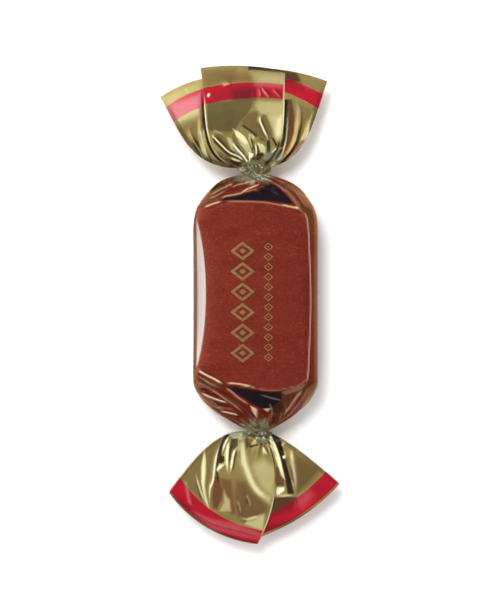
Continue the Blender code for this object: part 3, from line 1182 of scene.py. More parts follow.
FOOT_END = BarEnd(
    Side.FOOT, straight=12.5, face_end=11.2, face_bow=2.7, face_skew=2.0, twist=20.6,
    twist_x=0.45, power=2.0, root=1.15, knee=(0.5, 0.44),
    folds=(
        # The pleat in painted shade, and the film to its right, pale and with painted highlights.
        Patch(((-4.7, 13.2), (-3.2, 13.4), (-1.4, 13.65), (0.4, 14.0), (2.3, 14.15), (4.0, 14.1),
               (4.1, 15.3), (3.6, 15.8), (2.7, 16.8), (1.6, 17.0), (0.4, 16.6), (-0.9, 15.9),
               (-2.1, 15.1), (-3.2, 14.4), (-4.3, 13.7)), dusk=1.0, soft=0.13),
        Patch(((2.4, 16.0), (4.2, 15.2), (4.4, 16.6), (3.6, 18.6), (2.5, 18.8)), dusk=0.6, pale=0.3,
              soft=0.25),
        Patch(((4.2, 14.2), (5.5, 13.8), (6.7, 13.3), (7.9, 12.9), (7.4, 13.7), (6.0, 14.2), (4.7, 14.6)),
              pale=1.0, crest=0.3, soft=0.2),
        Patch(((4.1, 15.0), (5.6, 14.4), (7.6, 13.6), (6.5, 15.5), (5.0, 17.4), (3.4, 19.6), (3.0, 18.6),
               (4.2, 16.6)), pale=0.75, dusk=0.15, soft=0.3),
        # The crumpled film past the face's left corner.
        Patch(((-10.2, 10.8), (-9.0, 10.9), (-7.0, 12.2), (-4.6, 13.3), (-5.6, 13.9), (-8.0, 13.8),
               (-10.2, 13.8)), pale=0.6, soft=0.35),
        Fold(((-9.3, 11.6), (-7.6, 12.6), (-5.6, 13.6)), 0.14, 0.3, 0.3, wear=0.35),
        Fold(((-9.6, 12.5), (-8.3, 13.0), (-7.0, 13.7)), 0.12, 0.3, 0.3, wear=0.25),
        Fold(((-9.5, 11.1), (-8.6, 12.0), (-7.9, 13.2)), -0.08, 0.25, 0.25, dusk=(0.35, 0.35), wear=0.0),
        Patch(((-7.4, 13.6), (-5.4, 14.5), (-3.3, 15.7), (-2.2, 16.7), (-3.3, 16.4), (-5.6, 15.0)),
              pale=1.0, soft=0.2),
        Patch(((-8.6, 15.0), (-7.4, 16.0), (-6.6, 16.7), (-4.4, 17.0), (-6.2, 15.6)), dusk=0.55,
              soft=0.3),
        # The film at the twist, with two raised facets that carry painted glints.
        Patch(((-2.6, 18.6), (0.0, 18.4), (2.3, 18.7), (2.0, 21.0), (-2.4, 21.0)), pale=0.9, soft=0.4),
        Patch(((-0.9, 16.4), (0.2, 16.9), (0.2, 18.4), (-0.4, 17.6)), crest=0.9, soft=0.12, height=0.15),
        Patch(((1.2, 16.9), (2.4, 16.8), (1.9, 17.4)), crest=0.8, soft=0.12, height=0.1),
        # The crease that ends the face.
        Fold(((-9.2, 10.7), (-8.0, 11.4), (-6.4, 12.2), (-5.1, 13.0)), 0.28, 0.5, 0.45, swell=0.1,
             taper=1.0, soft=0.12, wear=1.0),
        Fold(((-4.9, 12.75), (-3.0, 12.85), (-1.2, 13.15), (0.1, 13.6)), 0.08, 0.3, 0.3, taper=1.0,
             wear=0.85),
        Fold(((0.1, 13.7), (2.7, 13.95), (5.5, 13.55), (7.4, 12.8), (8.2, 11.8)), 0.06, 0.4, 0.5,
             swell=0.1, fade=0.1, taper=1.0, wear=0.2),
        # The folds between the pleat and the twist, then those at its sides.
        Fold(((0.4, 14.5), (2.3, 15.1), (4.1, 15.5)), 0.06, 0.2, 0.25, swell=0.3, fade=0.1, taper=1.0,
             wear=0.25),
        Fold(((-5.0, 13.4), (-4.0, 14.0), (-2.5, 15.3), (-0.9, 16.3)), 0.4, 0.35, 0.6, taper=1.0,
             wear=0.55),
        Fold(((-7.6, 13.4), (-5.6, 14.8), (-3.6, 16.2), (-1.4, 18.0)), 0.4, 0.5, 0.4, fade=0.3, wear=0.4),
        Fold(((-8.9, 14.3), (-7.3, 15.0), (-5.7, 15.6), (-4.3, 16.0)), 0.4, 0.4, 0.35, dusk=(0.0, 0.3),
             wear=1.0),
        Fold(((-9.2, 13.8), (-8.3, 13.7), (-7.4, 14.0)), -0.12, 0.2, 0.2, fade=0.3, dusk=(0.9, 0.9),
             wear=0.0),
        Fold(((-8.2, 14.3), (-6.6, 14.7), (-5.6, 15.2)), -0.12, 0.25, 0.25, fade=0.3, dusk=(0.5, 0.5),
             wear=0.0),
        Fold(((-5.7, 17.4), (-4.1, 17.6), (-2.7, 18.0)), 0.38, 0.35, 0.4, swell=0.15, dusk=(0.4, 0.0),
             wear=1.0),
        Fold(((-6.9, 16.6), (-5.0, 16.8), (-3.0, 17.3)), 0.3, 0.4, 0.35, swell=0.3, fade=0.3,
             dusk=(0.3, 0.0), wear=0.2),
        Fold(((7.6, 13.8), (6.5, 14.9), (5.2, 16.9), (4.4, 18.1)), 0.3, 0.6, 0.45, swell=0.15, taper=1.0,
             wear=0.55),
        Fold(((8.4, 12.8), (7.4, 15.0), (5.2, 18.0), (3.0, 19.9)), 0.25, 0.7, 0.6, swell=0.15, wear=0.1),
        Fold(((2.2, 15.9), (2.6, 17.4), (2.3, 18.9)), 0.3, 0.3, 0.4, fade=0.3, wear=0.3),
        Patch(((8.3, 12.4), (10.4, 12.0), (10.4, 15.0), (6.5, 18.6), (3.0, 20.6), (4.6, 18.2),
               (6.8, 15.4)), dusk=0.35, pale=0.5, soft=0.4),
    ),
    scatter=CreaseScatter(16, 9, (0.4, 21.0), (0.6, 2.8), (110.0, 250.0), (0.6, 2.0),
                          (0.04, 0.16), (0.2, 0.5), wear=0.2),
    crumple=Crumple(4, 13, 4, (95.0, 265.0), (0.7, 7.5), 0.30, 0.8, (0.45, 21.1)),
)


@dataclass
class WrappedBar:
    """The bar of toffee in its film, from one twist to the other, in mm."""

    width: float = 20.0  # of the bar
    height: float = 11.93  # of its face over the table
    left_edge: Point = (0.222, 0.075)  # how round the left edge is, in the middle and at the face's ends
    right_edge: Point = (0.32, 0.28)  # the same for the right edge
    crown: float = 0.35  # how much lower the face is at its ends than in its middle
    sink: float = 0.35  # how much of the section the table cuts off
    edge_inset: float = 1.3  # how far before the face's ends the left edge is sharpest
    underside_delay: float = 1.5  # how much further out than the sides the underside starts to rise
    underside_curve: float = 1.25  # exponent of its rise
    gathers: int = 10  # how many pleats run round each end
    gather_depth: float = 0.17  # how deep they are, as a share of the section
    gather_turn: float = 0.8  # how far they wind, in radians
    gather_onset: float = 2.4  # exponent of how they set in
    # uneven: depth and number of the pleats among them, as shares of theirs, and where these start, in
    # radians
    uneven: tuple[float, float, float] = (0.35, 2.7, 1.0)
    calm: float = 0.86  # share of the way to the twist where the folds start to run out
    side_pale: float = 0.75  # how pale the flanks are, from 0 to 1
    # side_limits: how high up the section that starts, and over how much of it it grows
    side_limits: Point = (0.80, 0.25)
    folded: float = 0.35  # how high up the section the folds have their full height
    around: int = 320  # how many points each ring has
    outline_steps: int = 2400  # how many steps its outline is measured in
    straight_rows: int = 14  # how many rings stand along the straight part of a half
    crease_room: float = 2.6  # how far before the face's end they start to stand close
    shoulder_room: float = 0.6  # how far past it that ends
    corner_rows: int = 36  # how many rings stand between the two
    shoulder_rows: int = 104  # how many stand from there to the twist
    # lap: where the sheet's side edge lies on the film
    lap: Fold = Fold(((7.3, 14.9), (8.2, 13.2), (8.55, 8.0), (8.75, 0.0), (8.45, -9.0),
                      (8.3, -11.5), (8.0, -13.0)), 0.12, 1.0, 0.12, swell=0.04, fade=0.04,
                     taper=1.0, keen=1.5, soft=0.03, wear=0.50, samples=160)
    ends: tuple[BarEnd, BarEnd] = (FOOT_END, HEAD_END)  # the two halves

    def rows(self, end: BarEnd) -> Array:
        """Where this end's rings stand, from near the middle out to the twist.

        Args:
            end: the half of the bar.

        Returns:
            How far out each ring is, in mm.
        """
        plain = min(end.straight, end.face_end - self.crease_room)
        straight = plain * (np.arange(self.straight_rows) + 0.5) / self.straight_rows
        shoulder = max(end.straight, end.face_end) + self.shoulder_room
        corner = np.linspace(plain, shoulder, self.corner_rows, endpoint=False)
        opening = np.linspace(float(end.closing(shoulder)), 0.0, self.shoulder_rows)
        return np.concatenate((straight, corner, end.reach(opening)))

    def half(self, end: BarEnd) -> tuple[Array, Marks]:
        """Works out one half of the film.

        Args:
            end: which half.

        Returns:
            The points, rings by places round the bar, and what the folds leave there.
        """
        along = self.rows(end)[:, None]
        turn = 2.0 * math.pi * np.arange(self.around)[None, :] / self.around
        onset = end.falling(along, end.face_end + 0.5 * end.face_bow)
        gather = onset**self.gather_onset
        closing = end.closing(along)
        half_width = end.twist_radius + (self.width / 2 - end.twist_radius) * closing
        across, upright = self.outline(end, along, onset, half_width,
                                       turn + self.gather_turn * gather * end.side.value)
        across = across * half_width
        top, foot = self.top(end, across, along), self.foot(end, along)
        depth, number, start = self.uneven
        pleats = np.cos(self.gathers * turn) + depth * np.cos(number * self.gathers * turn + start)
        swell = 1.0 + self.gather_depth * gather * pleats
        x = end.twist_x * (1.0 - closing) + across * swell
        y = np.broadcast_to(along, x.shape)
        marks = self.marks(end, x, y, onset, upright)
        z = (foot + top) / 2 + (top - foot) / 2 * upright * swell + marks.height
        return np.stack((x, y * end.side.value, np.maximum(z, 0.0)), axis=-1), marks

    def marks(self, end: BarEnd, x: Array, y: Array, onset: Array, upright: Array) -> Marks:
        """Works out what the folds leave on one half of the film.

        Args:
            end: which half.
            x: how far to the right its points are, in mm.
            y: how far out they are.
            onset: how far they are on the way from the face's end to the twist.
            upright: how far up the section they are, as shares of half its height.

        Returns:
            The marks, which the underside is kept free of.
        """
        marks = relief(list(end.folds) + end.scatter.folds(), x, y)
        marks.height += blur(end.crumple.press(x, y), 2)
        keep = 1.0 - smooth((onset - self.calm) / (1.0 - self.calm))
        marks.height *= keep
        marks.crest *= keep
        marks.add(self.lap.press(x, y * end.side.value))
        high, growth = self.side_limits
        marks.pale = np.maximum(marks.pale, self.side_pale * smooth((high - upright) / growth))
        upper = smooth(upright / self.folded)
        marks.height *= upper
        marks.crest *= upper
        marks.dusk *= upper
        return marks

    def roundness(self, sides: Point, end: BarEnd, along: Array) -> Array:
        """How round an edge of the section is, by how far along the bar it is.

        Args:
            sides: how round the edge is in the middle and at the face's ends.
            end: the half of the bar.
            along: how far out each ring stands.

        Returns:
            The roundness at each ring.
        """
        middle, ends = sides
        share = np.clip(along / (end.face_end - self.edge_inset), 0.0, 1.0)
        return middle + (ends - middle) * share**2

    def outline(self, end: BarEnd, along: Array, onset: Array, half_width: Array,
                turn: Array) -> tuple[Array, Array]:
        """Works out the sections, with their points at even steps round them.

        Args:
            end: the half of the bar.
            along: how far out each ring stands.
            onset: how far each ring is on its way to the round twist, from 0 to 1.
            half_width: of each ring.
            turn: where round the section each point is wanted, in radians.

        Returns:
            How far across and how far up the points are, as shares of the half sizes.
        """
        angle = 2.0 * math.pi * np.arange(self.outline_steps + 1)[None, :] / self.outline_steps
        cosine, sine = np.cos(angle), np.sin(angle)
        left, right = (self.roundness(sides, end, along)
                       for sides in (self.left_edge, self.right_edge))
        upright_power = np.where(cosine < 0.0, left, right)
        across_power = np.where(cosine < 0.0, 1.0, right)
        upright_power = upright_power + (1.0 - upright_power) * onset
        across_power = across_power + (1.0 - across_power) * onset
        across = np.sign(cosine) * np.abs(cosine) ** across_power
        upright = np.sign(sine) * np.abs(sine) ** upright_power
        steps = np.hypot(np.diff(across) * half_width, np.diff(upright) * self.height / 2)
        walked = np.concatenate((np.zeros((len(across), 1)), np.cumsum(steps, axis=1)), axis=1)
        wanted = np.mod(turn / (2.0 * math.pi), 1.0) * walked[:, -1:]
        placed = [[np.interp(*ring) for ring in zip(wanted, walked, values)]
                  for values in (across, upright)]
        return np.array(placed[0]), np.array(placed[1])

    def top(self, end: BarEnd, x: Array, along: Array) -> Array:
        """Height of the film's top over a point of the bar's plan, in mm.

        Args:
            end: the half of the bar.
            x: how far to the right the points are.
            along: how far out they are.

        Returns:
            The height at each point.
        """
        edge = end.face_edge(x, self.width / 2)
        face = self.height - self.crown * np.clip(along / edge, 0.0, 1.0) ** 2
        bend, fall = end.knee
        share = np.interp(end.falling(along, edge), (0.0, bend, 1.0), (0.0, fall, 1.0))
        return face + (end.twist_height + end.twist_radius - face) * share

    def foot(self, end: BarEnd, along: Array) -> Array:
        """Height of the film's underside, in mm, below 0 where the bar lies flat."""
        share = end.falling(along, end.straight + self.underside_delay) ** self.underside_curve
        return -self.sink + (end.twist_height - end.twist_radius + self.sink) * share

    def build(self) -> Object:
        """Makes the film of the bar.

        Returns:
            The film.
        """
        foot, foot_marks = self.half(self.ends[0])
        head, head_marks = self.half(self.ends[1])
        marks = Marks.join([foot_marks.reversed(), head_marks], axis=0)
        film = Sheet("body_film", np.concatenate((foot[::-1], head)), marks, closed=True).build()
        film.data.materials.append(PrintedBody().material())
        hand_over(film)
        return film


# ------------------------------------------------------------------------- the fans


@dataclass(frozen=True)
class Layer:
    """One stretch of a fan's film between two lines that run out from the twist, in mm."""

    columns: int  # how many columns of the mesh it has
    start: Line  # four points of the Bezier line that it starts on
    end: Line  # the same where it ends
    # lift: height over the twist's axis at the twist, half-way and at the outer edge
    lift: tuple[float, float, float]
    bulge: float = 0.0  # how far its outer edge bows outwards
    # side_folds: whether it starts and ends in a side fold of the tube
    side_folds: tuple[bool, bool] = (False, False)
    folds: tuple[Fold | Patch, ...] = ()  # its creases
    scatter: CreaseScatter | None = None  # its small creases
    crumples: tuple[Crumple, ...] = ()  # its facets, coarse and fine
    # stripe: where the red stripe starts and ends, in mm from the cut edge, at the line that the layer
    # starts on and at the line that it ends on
    stripe: tuple[Point, Point] = ((2.0, 4.6), (2.0, 4.6))
    fold_share: float = 0.015  # share of its width that a side fold's rounding takes

    def shares(self) -> Array:
        """Where its columns stand, from 0 to 1 across it, closer at a side fold.

        Returns:
            The share of the width at each column.
        """
        share = np.arange(1, self.columns + 1) / self.columns
        if all(self.side_folds):
            return 0.5 - 0.5 * np.cos(math.pi * share)
        if self.side_folds[0]:
            return 1.0 - np.cos(0.5 * math.pi * share)
        if self.side_folds[1]:
            return np.sin(0.5 * math.pi * share)
        return share

    def plan(self, across: Array, out: Array) -> Array:
        """Points seen from above.

        Args:
            across: shares of its width.
            out: shares of its length, of the same shape.

        Returns:
            x and y in mm, on one more axis.
        """
        start, end = bezier(self.start, out), bezier(self.end, out)
        chord = np.array(self.end[3]) - np.array(self.start[3])
        outward = np.array((-chord[1], chord[0])) / np.hypot(*chord)
        outward = outward * math.copysign(1.0, outward[1])
        bow = self.bulge * out * 4.0 * across * (1.0 - across)
        return start + (end - start) * across[..., None] + outward * bow[..., None]

    def rise(self, across: Array) -> Array:
        """Rises from 0 on a side fold to 1, round like the tube's flattened edge.

        Args:
            across: where the points are across it, from 0 to 1.

        Returns:
            The rise at each point.
        """
        rise = np.ones(across.shape)
        for fold, share in zip(self.side_folds, (across, 1.0 - across)):
            if fold:
                left = np.clip(1.0 - share / self.fold_share, 0.0, 1.0)
                rise = rise * np.sqrt(1.0 - left**2)
        return rise

    def points(self, across: Array, out: Array) -> tuple[Array, Marks]:
        """Points of the film.

        Args:
            across: shares of its width.
            out: shares of its length, of the same shape.

        Returns:
            x, y and height over the twist's axis in mm, and what the folds leave there.
        """
        plan = self.plan(across, out)
        x, y = plan[..., 0], plan[..., 1]
        root, middle, edge = self.lift
        lift = root * (1 - out) ** 2 + 2 * middle * out * (1 - out) + edge * out**2
        marks = relief(list(self.folds) + (self.scatter.folds() if self.scatter else []), x, y)
        for crumple in self.crumples:
            marks.height += blur(crumple.press(x, y), 3)
        rise = self.rise(across)
        height = (lift + marks.height * rise) * rise
        marks.crest *= rise
        return np.concatenate((plan, height[..., None]), axis=-1), marks


@dataclass
class Fan:
    """The opened tube of film past one twist, in mm."""

    name: str  # of the piece
    end: BarEnd  # the end of the bar that it belongs to
    layers: tuple[Layer, ...]  # its stretches of film, from the cut edge round to the tucked edge
    finish: FanFilm = FanFilm()  # of its outer face
    rows: int = 125  # how many rows of points run from the twist to the cut edge
    row_crowding: float = 1.15  # exponent of how much closer they stand at the twist
    film: float = 0.05  # how thick the film is
    sharp: float = 60.0  # edges that turn by more degrees than this are shaded sharp

    def build(self) -> None:
        """Makes the sheet and thickens it."""
        out = np.linspace(0.0, 1.0, self.rows) ** self.row_crowding
        blocks, marked, stripes = [], [], []
        for number, layer in enumerate(self.layers):
            shares = layer.shares()
            if number == 0:
                shares = np.concatenate(([0.0], shares))
            across, outwards = np.meshgrid(shares, out)
            points, marks = layer.points(across, outwards)
            blocks.append(points)
            marked.append(marks)
            first, last = np.array(layer.stripe)
            stripes.append(first + (last - first) * shares[:, None])
        points = np.concatenate(blocks, axis=1)
        marks = Marks.join(marked, axis=1)
        side = self.end.side.value
        placed = np.stack((self.end.twist_x + points[..., 0],
                           side * (self.end.twist + points[..., 1]),
                           self.end.twist_height + points[..., 2]), axis=-1)
        uv = self.film_lengths(points, np.concatenate(stripes))
        sheet = Sheet(self.name, placed, marks, uv=uv, flip=side > 0).build()
        sheet.data.materials.append(self.finish.material())
        sheet.data.materials.append(FilmInside().material())
        thick = sheet.modifiers.new("film", "SOLIDIFY")
        thick.thickness = self.film * MM
        thick.offset = -1.0
        thick.material_offset = 1
        settle(sheet, self.sharp)
        hand_over(sheet)

    @staticmethod
    def film_lengths(points: Array, stripes: Array) -> Array:
        """Measures the sheet for its UV map.

        Args:
            points: rows by columns by x, y and z in mm.
            stripes: where the stripe starts and ends in each column, in mm from the edge.

        Returns:
            Rows by columns by the way along the cut edge in mm, and the way across the
            stripe, 0 at its outer and 1 at its inner side.
        """
        steps = np.linalg.norm(np.diff(points, axis=0), axis=2)
        inwards = np.zeros(points.shape[:2])
        inwards[:-1] = steps[::-1].cumsum(axis=0)[::-1]
        sideways = np.linalg.norm(np.diff(points[-1], axis=0), axis=1)
        along = np.concatenate(([0.0], np.cumsum(sideways)))
        across = (inwards - stripes[:, 0]) / (stripes[:, 1] - stripes[:, 0])
        return np.stack((np.broadcast_to(along, inwards.shape), across), axis=-1)


def follow(line: Line, start: float, end: float, aside: float = 0.0,
           count: int = 8) -> Line:
    """Points for a fold that follows one of the fan's lines.

    Args:
        line: four points of a Bezier line.
        start: share of the line where the fold starts.
        end: the same where it ends.
        aside: how far to the right of the line it runs, in mm.
        count: how many points.

    Returns:
        The points, in mm.
    """
    points = bezier(line, np.linspace(start, end, count))
    return tuple((float(x) + aside, float(y)) for x, y in points)


def crushed(seed: int, spokes: int, bearing: Point, reach: float, height: float, calm: float,
            root: tuple[int, float, float, float] = (18, 0.9, 7.0, 0.30)) -> tuple[Crumple, ...]:
    """Coarse facets all over a layer, and fine ones at its root.

    Args:
        seed: fixes the facets.
        spokes: how many coarse ones lie side by side.
        bearing: range of their directions from the twist, in degrees clockwise from outwards.
        reach: how far out they go, in mm.
        height: how far their corners stand off the film, in mm.
        calm: how fast that falls off outwards.
        root: how many fine ones lie side by side, their nearest and furthest distance from
            the twist, and how far their corners stand off the film, in mm.

    Returns:
        The coarse and the fine facets.
    """
    fine, near, far, low = root
    return (Crumple(seed, spokes, 5, bearing, (0.9, reach), height, calm),
            Crumple(seed + 40, fine, 4, bearing, (near, far), low, 0.7))


def back_layer(start: Line, end: Line, bulge: float,
               stripe: tuple[Point, Point], seeds: tuple[int, int]) -> Layer:
    """The back of a fan, between its two side folds.

    Args:
        start: the line that it starts on.
        end: the line that it ends on.
        bulge: how far its outer edge bows outwards, in mm.
        stripe: where the red stripe runs.
        seeds: fix its creases and its facets.

    Returns:
        The layer.
    """
    scatter = CreaseScatter(30, seeds[0], (0.0, 0.0), (1.0, 6.0), (-70.0, 60.0), (2.0, 6.0),
                            (0.05, 0.25), (0.4, 1.0))
    return Layer(60, start, end, (-0.5, -1.8, -0.6), bulge=bulge, side_folds=(True, True),
                 stripe=stripe, scatter=scatter,
                 crumples=crushed(seeds[1], 12, (-85.0, 85.0), 15.0, 0.68, 0.9))


# Each fan's lines run out from its twist, with x to the right and y outwards, in mm. The points
# of the creases and facets between them were picked on the enlarged photo, in pixels, and turned
# into mm to the nearest 0.1.
# The fans' patches and folds paint shade, highlights, glints and brown reflections onto the film, beside
# its wear and its relief.
HEAD_LEFT = ((-1.3, 1.0), (-10.3, 0.4), (-11.6, 6.0), (-15.15, 12.35))
HEAD_RIGHT = ((1.3, 1.0), (8.8, 1.6), (9.4, 8.3), (11.8, 14.9))
HEAD_STEP_HIGH = ((-0.7, 1.0), (-9.7, 1.0), (-7.2, 9.5), (-8.7, 17.0))
HEAD_STEP_LOW = ((-0.6, 1.0), (-8.9, 1.1), (-6.5, 9.5), (-8.0, 15.4))
HEAD_CUT_EDGE = ((0.8, 1.0), (5.6, 3.2), (4.6, 9.0), (4.9, 16.5))
HEAD_TUCKED_EDGE = ((-0.2, 1.0), (0.6, 5.0), (-0.4, 10.0), (-0.7, 17.1))

HEAD_FRONT_FOLDS = (
    # The cut edge at the right and the step at the left, with painted glints and painted shade.
    streak(follow(HEAD_CUT_EDGE, 0.35, 1.0, -0.08), 0.1, 0.5, 0.02),
    groove(follow(HEAD_CUT_EDGE, 0.04, 0.42, -0.14), 0.18, 0.9),
    streak(follow(HEAD_STEP_HIGH, 0.3, 0.84, 0.12), 0.09, 0.7),
    streak(follow(HEAD_STEP_HIGH, 0.12, 0.42, 0.12), 0.07, 0.4),
    # Inside the stripe: in the shade on the left, lit on the right.
    Patch(((-7.3, 11.6), (-0.2, 11.9), (-0.4, 10.8), (-1.2, 9.5), (-2.2, 8.4), (-3.0, 7.2), (-3.6, 6.7),
           (-5.2, 6.7), (-6.8, 6.7), (-7.5, 7.2), (-7.5, 11.1)), dusk=0.58, soft=0.25),
    Patch(((-6.0, 8.4), (-3.6, 9.5), (-2.2, 9.3), (-2.3, 8.4), (-3.1, 7.4), (-4.3, 6.7), (-5.5, 6.9)),
          dusk=0.62, soft=0.9),
    Patch(((-2.2, 8.4), (-1.0, 9.8), (0.7, 10.1), (1.0, 8.2), (2.0, 5.8), (1.2, 5.3), (-0.4, 6.6),
           (-1.8, 7.7)), dusk=0.28, warm=0.35, soft=0.3),
    Patch(((-0.1, 11.6), (4.6, 11.6), (4.6, 9.3), (1.5, 9.5), (0.6, 9.8)), pale=0.4, soft=0.4),
    Patch(((1.2, 9.5), (1.8, 9.5), (2.6, 7.7), (3.1, 5.5), (2.5, 5.5), (1.7, 7.1), (1.0, 8.5)), warm=0.45,
          dusk=0.12, soft=0.2),
    Patch(((2.0, 9.5), (4.6, 10.1), (4.6, 6.6), (4.3, 5.5), (3.5, 5.3), (3.1, 6.7)), pale=0.52, soft=0.5),
    Patch(((3.6, 8.7), (4.4, 9.2), (4.4, 6.6), (3.9, 5.8), (3.3, 5.9), (3.3, 7.2)), crest=0.45, soft=0.5),
    # The facets of the pleats at the root, towards the left.
    Patch(((-3.5, 7.2), (-2.6, 6.9), (-1.5, 6.1), (-0.9, 5.1), (-0.4, 3.7), (-0.1, 2.7), (-0.9, 2.4),
           (-1.5, 3.4), (-2.2, 4.5), (-2.8, 5.6)), pale=0.52, height=0.12, soft=0.14),
    Patch(((-3.3, 7.1), (-2.3, 6.7), (-1.4, 5.8), (-1.0, 4.8), (-1.5, 4.7), (-2.3, 5.5), (-3.0, 6.1)),
          crest=0.55, soft=0.2),
    Patch(((-3.5, 6.7), (-3.0, 5.5), (-2.2, 4.0), (-2.3, 3.4), (-3.0, 4.2), (-3.6, 5.3)), dusk=0.45,
          soft=0.14),
    Patch(((-4.4, 5.9), (-3.6, 5.6), (-3.0, 4.3), (-2.3, 3.2), (-3.0, 3.1), (-3.8, 4.0), (-4.3, 5.1)),
          pale=0.5, soft=0.22),
    Patch(((-6.8, 6.4), (-5.4, 6.3), (-4.3, 5.1), (-3.6, 4.0), (-4.3, 3.7), (-5.4, 4.7), (-6.5, 5.8)),
          warm=0.45, dusk=0.22, soft=0.25),
    Patch(((-7.1, 5.8), (-5.7, 4.2), (-4.1, 2.7), (-4.9, 2.4), (-6.0, 3.2), (-6.8, 4.5)), pale=0.15,
          soft=0.2),
    Patch(((-5.9, 3.7), (-4.1, 2.6), (-2.3, 1.8), (-1.2, 0.8), (-2.6, 0.5), (-4.6, 0.8), (-5.7, 2.1)),
          warm=0.8, dusk=0.35, soft=0.3),
    # The small facets where it enters the twist.
    Patch(((0.4, 5.0), (1.4, 4.7), (1.8, 4.2), (1.7, 3.2), (1.0, 3.5)), pale=0.85, soft=0.14),
    Patch(((-0.9, 3.4), (-0.1, 3.2), (-0.6, 2.4), (-0.9, 1.9)), crest=1.0, soft=0.1),
    Patch(((0.2, 3.1), (1.8, 3.5), (1.5, 2.7), (0.4, 2.1)), warm=0.8, dusk=0.25),
    Patch(((-1.0, 6.4), (-0.2, 6.3), (0.1, 5.5), (-0.7, 5.6)), pale=0.6, soft=0.14),
    # The margin outside the stripe.
    Patch(((-8.3, 16.7), (-3.0, 16.9), (-3.1, 14.9), (-6.2, 14.3), (-7.8, 13.8), (-8.3, 14.9)), dusk=0.25,
          warm=0.3, soft=0.8),
    Patch(((-5.2, 16.1), (1.2, 15.9), (1.2, 14.8), (-5.2, 14.5)), warm=0.6, soft=0.9),
    Patch(((-0.4, 16.2), (5.1, 16.1), (5.1, 14.0), (0.2, 14.3)), pale=0.42, warm=0.2, soft=0.9),
    Patch(((-1.0, 17.7), (5.4, 17.2), (5.1, 16.2), (2.5, 16.5), (-1.0, 16.7)), dusk=0.75, warm=0.9,
          soft=0.12),
    # The stripe: in painted shade on the left, with painted glints on the right.
    Patch(((-6.5, 13.7), (0.0, 14.1), (0.0, 11.4), (-6.5, 11.2)), dusk=0.3, soft=1.0),
    Patch(((-3.9, 13.7), (0.0, 14.0), (0.0, 11.4), (-3.9, 11.4)), dusk=0.75, soft=1.0),
    groove(((-0.4, 14.0), (-0.3, 12.7), (-0.3, 11.4)), 0.8, 0.55, 0.0),
    Patch(((1.8, 13.7), (4.7, 13.3), (4.7, 11.6), (1.5, 11.9)), dusk=0.28, soft=0.7),
    Patch(((0.2, 14.1), (4.7, 13.7), (4.7, 11.7), (0.2, 12.0)), dusk=0.1, soft=0.2),
    Patch(((-7.4, 12.9), (-7.1, 12.7), (-7.4, 12.3), (-7.6, 12.5)), crest=0.9, soft=0.12),
    streak(((-5.2, 14.0), (-4.4, 14.4), (-3.6, 14.6)), 0.1, 0.4),
    streak(((1.0, 14.0), (1.7, 13.0), (2.5, 12.0)), 0.1, 0.26),
    streak(((0.6, 13.8), (0.9, 12.8), (0.7, 12.0)), 0.08, 0.12),
    streak(((2.8, 13.8), (3.6, 12.8), (4.4, 12.0)), 0.08, 0.16),
    # The creases of the pleats, from the left to the right.
    Fold(((-1.4, 1.9), (-2.6, 2.8), (-4.1, 3.5), (-5.5, 4.8), (-7.0, 6.4)), 0.22, 0.6, 0.7, swell=0.15,
         taper=0.7, wear=0.9, rub=0.11),
    Fold(((-1.0, 1.8), (-2.0, 3.1), (-2.8, 4.0), (-3.6, 5.1)), 0.22, 0.6, 0.6, swell=0.1, fade=0.3,
         taper=0.8, wear=1.0, rub=0.13),
    groove(((-4.4, 3.8), (-3.3, 3.4), (-2.3, 2.7), (-1.2, 1.8)), 0.26, 0.85),
    streak(((-4.1, 2.7), (-3.0, 2.2), (-1.8, 2.0)), 0.13, 0.7),
    streak(((-3.6, 0.8), (-3.1, 0.9), (-2.5, 0.8)), 0.12, 0.6),
    streak(((-6.8, 6.7), (-5.9, 6.7), (-4.7, 6.1)), 0.1, 0.3),
    groove(((-2.3, 7.9), (-1.4, 7.4), (-0.4, 6.7), (0.7, 5.7)), 0.17, 0.9),
    streak(((-0.9, 6.1), (-0.6, 5.0), (-0.2, 3.7)), 0.06, 0.35),
    groove(((-0.7, 6.3), (-0.3, 5.0), (-0.1, 3.7)), 0.14, 0.5),
    streak(((0.1, 5.0), (0.3, 3.7), (0.2, 2.6)), 0.1, 0.9),
    groove(((0.4, 4.7), (0.6, 3.7), (0.6, 2.7)), 0.2, 0.6),
    streak(((1.0, 9.8), (0.9, 8.5), (1.4, 7.2), (2.0, 5.9), (2.3, 5.1)), 0.13, 0.95, 0.15),
    groove(((2.2, 5.5), (2.3, 4.3), (2.2, 3.2)), 0.3, 0.85),
    groove(((2.8, 5.9), (3.3, 5.0), (3.6, 4.2)), 0.15, 0.9),
    streak(((3.8, 4.3), (3.1, 3.7), (2.5, 3.1)), 0.08, 0.6),
    groove(((0.7, 5.6), (1.4, 5.3), (2.0, 5.3)), 0.2, 0.4),
)
